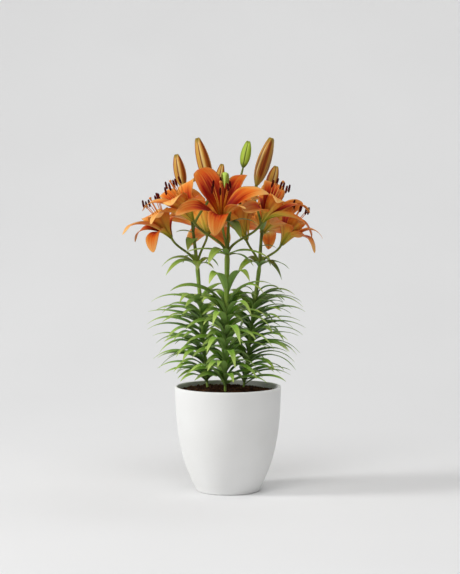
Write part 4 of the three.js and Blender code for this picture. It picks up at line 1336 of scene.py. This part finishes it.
# A stalk that leaves its stem steeply, thick at its root, and ends in line with its bloom or bud
def stalkPath(start, seat, direction, seatRadius):
    start = Vector(start)
    seat = Vector(seat)
    length = (seat - start).length
    leaving = (start + upAxis * length * stem["leaveRise"]).lerp(seat, stem["leaveShare"])
    points = [start, leaving, seat - direction * length * stem["arriveShare"], seat]
    path = []
    for step in range(stem["stalkSteps"] + 1):
        share = step / stem["stalkSteps"]
        radius = stem["stalkRadius"] * (1 + stem["rootSwell"] * (1 - share) ** 6)
        radius = mix(radius, seatRadius, smoothStep(0.86, 1, share))
        path.append((bezier(points, share), radius))
    return path


def bloomAxis(bloom):
    return Vector(bloom["axis"]).normalized()


def budAxis(bud):
    return (Vector(bud["tip"]) - Vector(bud["seat"])).normalized()


def makeStalks(plantName):
    plant = plants[plantName]
    top = Vector(plant["node"])
    main = []
    for step in range(stem["steps"] + 1):
        share = step / stem["steps"]
        point = stemPoint(plant, mix(stem["holeBottom"], top.z, share))
        radius = mix(stem["footRadius"], plant["stout"], smoothStep(0.1, 0.9, share))
        swelling = 0.3 * smoothStep(0.9, 0.96, share) - 0.9 * smoothStep(0.97, 1, share)    # at the node
        main.append((point, radius + swelling))
    shoot = []
    for step in range(stem["shootSteps"] + 1):
        share = step / stem["shootSteps"]
        radius = mix(stem["shootRadius"] + 0.8, stem["shootRadius"], share)
        shoot.append((top.lerp(Vector(plant["crown"]), share), radius))
    paths = [main, shoot]
    for bloom in blooms:
        if bloom["plant"] == plantName:
            axis = bloomAxis(bloom)
            seat = Vector(bloom["seat"])
            cup = [(seat + axis * high, radius) for high, radius in stem["cup"]]
            paths.append(stalkPath(plant["node"], bloom["seat"], axis, stem["seatRadius"]) + cup)
    for bud in buds:
        if bud["plant"] == plantName:
            radius = bud["width"] * bud["neck"]
            path = stalkPath(plant["crown"], bud["seat"], budAxis(bud), radius)
            paths.append(path + [(Vector(bud["seat"]) + budAxis(bud) * 1.5, radius * 0.9)])
    obj = sweepSource("stalks_" + plantName, paths)
    growMesh(obj, sweepTree, {"Sides": stem["sides"], "Material": stalkGreen})
    finishPiece(obj, "leaf_green")


for plantName in plants:
    makeStalks(plantName)
print("stems made")


# Blooms: six tepals, six filaments with anthers, and the style

tepal = {
    "length": 84, "innerWidth": 37, "outerWidth": 27, "innerRoot": 1.2, "outerRoot": 2.0, "rootHeight": 1.5,
    "innerFlare": 2, "outerFlare": 6, "innerRise": 0.38, "outerRise": 0.34,
    "flareShare": 0.13, "foldedFrom": 0.7, "firstShade": 0.1,
    "overhang": (0.28, 0.14), "archRise": (0.22, 0.34),    # of an upright and of a folded tepal
}
tepalBlade = {
    "Columns": 17, "Rows": 34, "Thickness": 0.0009, "Base Width": 0.12, "Widest At": 0.55, "Tip Power": 4.0,
    "Tip Round": 0.6, "Cup Base": 0.6, "Cup Tip": -0.1, "Cup Power": 2.0, "Midrib": 0.0009,
    "Ruffle": 0.45, "Ruffle Scale": 3.0, "Twist": 0.25, "Seed": 8,
}
stamen = {
    "length": 54, "spread": 13, "radius": 0.85, "rootRadius": 1.9, "rootHeight": 1.2, "steps": 12,
    "antherLength": 11.5, "antherRadius": 1.55, "antherLean": 0.15, "upright": 0.45, "throatHeight": 9,
    "gap": 0.3, "turnJitter": 30, "firstSeed": 101,
    "bowSpread": 0.4, "bowRise": 0.55, "taper": (1.1, 0.55),
}
style = {
    "length": 61, "radius": 1.1, "stigma": 2.3, "base": 3.0, "end": 0.95, "stigmaFrom": 0.93, "steps": 18,
}


# Spine of a tepal and the way across it: out of the throat, then bent over towards its tip
def tepalSpine(bloom, tip, isInner, arch, roll):
    axis = bloomAxis(bloom)
    seat = Vector(bloom["seat"])
    offset = Vector(tip) - seat
    lift = offset.dot(axis)
    outward = offset - axis * lift
    reach = outward.length
    outward.normalize()
    size = bloom["size"] * tepal["length"]
    fold = smoothStep(tepal["foldedFrom"], 0, lift / reach)
    kind = "inner" if isInner else "outer"

    def place(out, high):
        return seat + outward * out + axis * high
    spine = [
        place(tepal[kind + "Root"], tepal["rootHeight"]),
        place(tepal["flareShare"] * reach + tepal[kind + "Flare"], tepal[kind + "Rise"] * size),
        place(reach - mix(*tepal["overhang"], fold) * size,
              lift + mix(*tepal["archRise"], fold) * size * arch),
        Vector(tip),
    ]
    return spine, Quaternion(Vector(tip) - spine[0], math.radians(roll)) @ -axis.cross(outward)


def makeTepals(bloom, order):
    blades = []
    for index, tip in enumerate(bloom["tips"]):
        isInner = index % 2 == 0
        arch = bloom.get("arches", {}).get(index, 1)
        spine, side = tepalSpine(bloom, tip, isInner, arch, bloom.get("rolls", {}).get(index, 0))
        width = bloom["size"] * (tepal["innerWidth"] if isInner else tepal["outerWidth"])
        width *= bloom.get("widths", {}).get(index, 1)
        usual = (tepal["firstShade"] + goldenShare * (bloomParts * order + index)) % 1
        shade = bloom.get("shades", {}).get(index, usual)
        blades.append({"spine": spine, "side": side, "width": width, "shade": shade})
    obj = bladeSource("tepals_" + bloom["name"][-2:], blades)
    growMesh(obj, bladeTree, {**tepalBlade, "Material": orangeTepal})
    finishPiece(obj, "orange_tepal", bloom["name"] + "_tepals")


# Stamens are laid out upright and then turned with their bloom
def stamenPlan(bloom, seed):
    random = seededRandom(seed)
    axis = bloomAxis(bloom)
    floor = Vector(bloom["seat"]) + axis * (stamen["throatHeight"] + stamen["gap"])
    place = Matrix.Translation(floor) @ upAxis.rotation_difference(axis).to_matrix().to_4x4()
    filaments = []
    anthers = []
    steps = stamen["steps"]
    for index in range(bloomParts):
        azimuth = math.radians(partTurn * index + stamen["turnJitter"] * random())
        outward = Vector((math.cos(azimuth), math.sin(azimuth), 0))
        length = stamen["length"] * bloom["size"] * (0.92 + 0.14 * random())
        spread = stamen["spread"] * bloom["size"]
        points = [
            outward * stamen["rootRadius"] + upAxis * stamen["rootHeight"],
            outward * spread * stamen["bowSpread"] + upAxis * length * stamen["bowRise"],
            outward * spread + upAxis * length,
        ]
        shares = [step / steps for step in range(steps + 1)]
        filaments.append([(place @ bezier(points, share), stamen["radius"] * mix(*stamen["taper"], share))
                          for share in shares])
        middle = place @ points[2]
        lean = place.to_3x3() @ (upAxis - outward * stamen["antherLean"]).normalized()
        half = lean.lerp(upAxis, stamen["upright"]).normalized() * (stamen["antherLength"] / 2)
        anthers.append((middle - half, middle + half, stamen["antherRadius"]))
    return place, filaments, anthers


# The style's path, stout at its base, and the knob of the stigma on its end
def stylePath(bloom, place):
    length = style["length"] * bloom["size"]
    stops = [(0, style["base"]), (0.05, style["base"] * 0.9), (0.1, style["radius"] * 1.15),
             (0.5, style["radius"]), (0.93, style["radius"] * 1.1)]
    path = []
    for step in range(style["steps"] + 1):
        share = step / style["steps"] * style["end"]
        low = max(stop for stop in stops if stop[0] <= share)
        high = min([stop for stop in stops if stop[0] > share] or [stops[-1]])
        amount = 0 if high[0] <= low[0] else (share - low[0]) / (high[0] - low[0])
        path.append((place @ (upAxis * length * share), mix(low[1], high[1], amount)))
    knob = (place @ (upAxis * length * style["stigmaFrom"]), place @ (upAxis * length), style["stigma"])
    return path, knob


# Each profile has the share of the length and the share of the radius
antherTree = makeLobedTree("antherBody", [
    (0.0, 0.0), (0.06, 0.55), (0.25, 0.95), (0.5, 1.0), (0.8, 0.9), (0.95, 0.5), (1.0, 0.0)])
stigmaTree = makeLobedTree("stigmaBody", [
    (0.0, 0.0), (0.03, 0.36), (0.3, 0.75), (0.6, 1.0), (0.85, 0.8), (1.0, 0.0)])
budTree = makeLobedTree("budBody", [
    (0.0, 0.0), (0.004, 0.22), (0.06, 0.44), (0.2, 0.8), (0.42, 1.0), (0.64, 0.93), (0.8, 0.75),
    (0.9, 0.58), (0.95, 0.47), (0.98, 0.34), (0.995, 0.17), (1.0, 0.0)])
antherForm = {"Segments": 16, "Rings": 14, "Lobes": 2.0, "Lobe Depth": 0.16, "Tip Depth": 0.1}
stigmaForm = {"Segments": 24, "Rings": 10, "Lobes": 3.0, "Lobe Depth": 0.14, "Tip Depth": 0.2}
threadSides = 8


def makeStamens(bloom, seed):
    place, filaments, anthers = stamenPlan(bloom, seed)
    path, knob = stylePath(bloom, place)
    number = bloom["name"][-2:]
    threads = sweepSource("filaments_" + number, filaments + [path])
    growMesh(threads, sweepTree, {"Sides": threadSides, "Material": filamentOrange})
    finishPiece(threads, "maroon_stamen")
    heads = lobedSource("anthers_" + number, anthers)
    growMesh(heads, antherTree, {**antherForm, "Material": antherMaroon})
    finishPiece(heads, "maroon_stamen", bloom["name"] + "_stamens")
    top = lobedSource("stigma_" + number, [knob])
    growMesh(top, stigmaTree, {**stigmaForm, "Material": filamentOrange})
    finishPiece(top, "maroon_stamen")


for order, bloom in enumerate(blooms):
    makeTepals(bloom, order)
    makeStamens(bloom, stamen["firstSeed"] + order)
print("blooms made")


# Buds: three tepals with a groove at each seam

budForm = {
    "Segments": 60, "Rings": 56, "Lobes": 3.0, "Lobe Depth": 0.05, "Tip Depth": 0.24, "Tip Notch": 0.02,
}
seamToLobe = 60                                 # degrees from a seam to the middle of a tepal


def makeBud(bud):
    isGreen = bud.get("isGreen", False)
    axis = budAxis(bud)
    start = Vector(bud["seat"]) + axis * stamen["gap"]
    obj = lobedSource(bud["name"] + "_skin", [(start, bud["tip"], bud["width"] / 2)])
    addAttribute(obj, "shade", "FLOAT", [bud["blush"]])
    growMesh(obj, budTree, {**budForm, "Spin": math.radians(bud["seam"] + seamToLobe),
                            "Material": greenBud if isGreen else ripeBud})
    finishPiece(obj, "green_bud" if isGreen else "ripe_bud", bud["name"])


for bud in buds:
    makeBud(bud)
print("buds made")


# Camera, studio and lights

camera = {"location": (0.0028, -2.5, 0.461), "pitch": 3.96, "focalPixels": 1783, "imageWidth": 460}
studio = {
    "front": -3.2, "back": 3.4, "bend": 2.9, "height": 3.0, "halfWidth": 3.5, "bendSteps": 12,
    "paper": (colour(232, 232, 232), colour(234, 234, 234)), "roughness": 0.9,
    "air": colour(238, 238, 238), "airStrength": 0.345,
}
lights = [
    {"name": "keyLight", "place": (-4.6, -0.9, 2.4), "aim": (0, 0, 0.25),
     "size": 1.5, "power": 136.0},
    {"name": "frontLight", "place": (-1.0, -1.8, 2.0), "aim": (-0.1, -0.5, 0.0),
     "size": 1.6, "power": 14.0},
    {"name": "topLight", "place": (0.1, -0.9, 2.4), "aim": (0.1, -0.4, 0.0),
     "size": 1.6, "power": 16.0},
    {"name": "wallLight", "place": (0.9, 1.0, 2.8), "aim": (0.7, 2.4, 0.6),
     "size": 1.6, "power": 18.0},
]


def makeCamera():
    data = bpy.data.cameras.new("photoCamera")
    data.sensor_fit = "HORIZONTAL"
    data.sensor_width = 36
    data.lens = data.sensor_width * camera["focalPixels"] / camera["imageWidth"]
    obj = bpy.data.objects.new("photoCamera", data)
    obj.location = camera["location"]
    obj.rotation_euler = (math.radians(90 - camera["pitch"]), 0, 0)
    bpy.context.scene.collection.objects.link(obj)
    bpy.context.scene.camera = obj


def makeStudio():
    bendStart = studio["back"] - studio["bend"]
    profile = [(studio["front"], 0), (bendStart, 0)]
    for step in range(1, studio["bendSteps"] + 1):
        angle = math.radians(90 * step / studio["bendSteps"])
        rise = studio["bend"] * (1 - math.cos(angle))
        profile.append((bendStart + studio["bend"] * math.sin(angle), rise))
    profile.append((studio["back"], studio["height"]))
    vertices = [(x / metre, y / metre, z / metre) for y, z in profile
                for x in (-studio["halfWidth"], studio["halfWidth"])]
    faces = [(2 * i, 2 * i + 1, 2 * i + 3, 2 * i + 2) for i in range(len(profile) - 1)]
    obj = meshObject("studioSweep", vertices, (), faces)
    obj.data.polygons.foreach_set("use_smooth", [True] * len(faces))
    material, tree, shader = newMaterial("palePaper")
    feed(tree, shader["Base Color"], mixColours(tree, mottle(tree, 2, 2), *studio["paper"]))
    feed(tree, shader["Roughness"], studio["roughness"])
    obj.data.materials.append(material)


def makeLights():
    for light in lights:
        data = bpy.data.lights.new(light["name"], "AREA")
        data.shape = "DISK"
        data.size = light["size"]
        data.energy = light["power"]
        obj = bpy.data.objects.new(light["name"], data)
        obj.location = light["place"]
        direction = Vector(light["aim"]) - obj.location
        obj.rotation_euler = direction.to_track_quat("-Z", "Y").to_euler()
        bpy.context.scene.collection.objects.link(obj)
    world = bpy.data.worlds.new("studioAir")
    world.use_nodes = True
    background = world.node_tree.nodes["Background"].inputs
    background["Color"].default_value = studio["air"]
    background["Strength"].default_value = studio["airStrength"]
    bpy.context.scene.world = world


makeCamera()
makeStudio()
makeLights()
bpy.context.scene.view_settings.view_transform = "Standard"
print("studio ready")
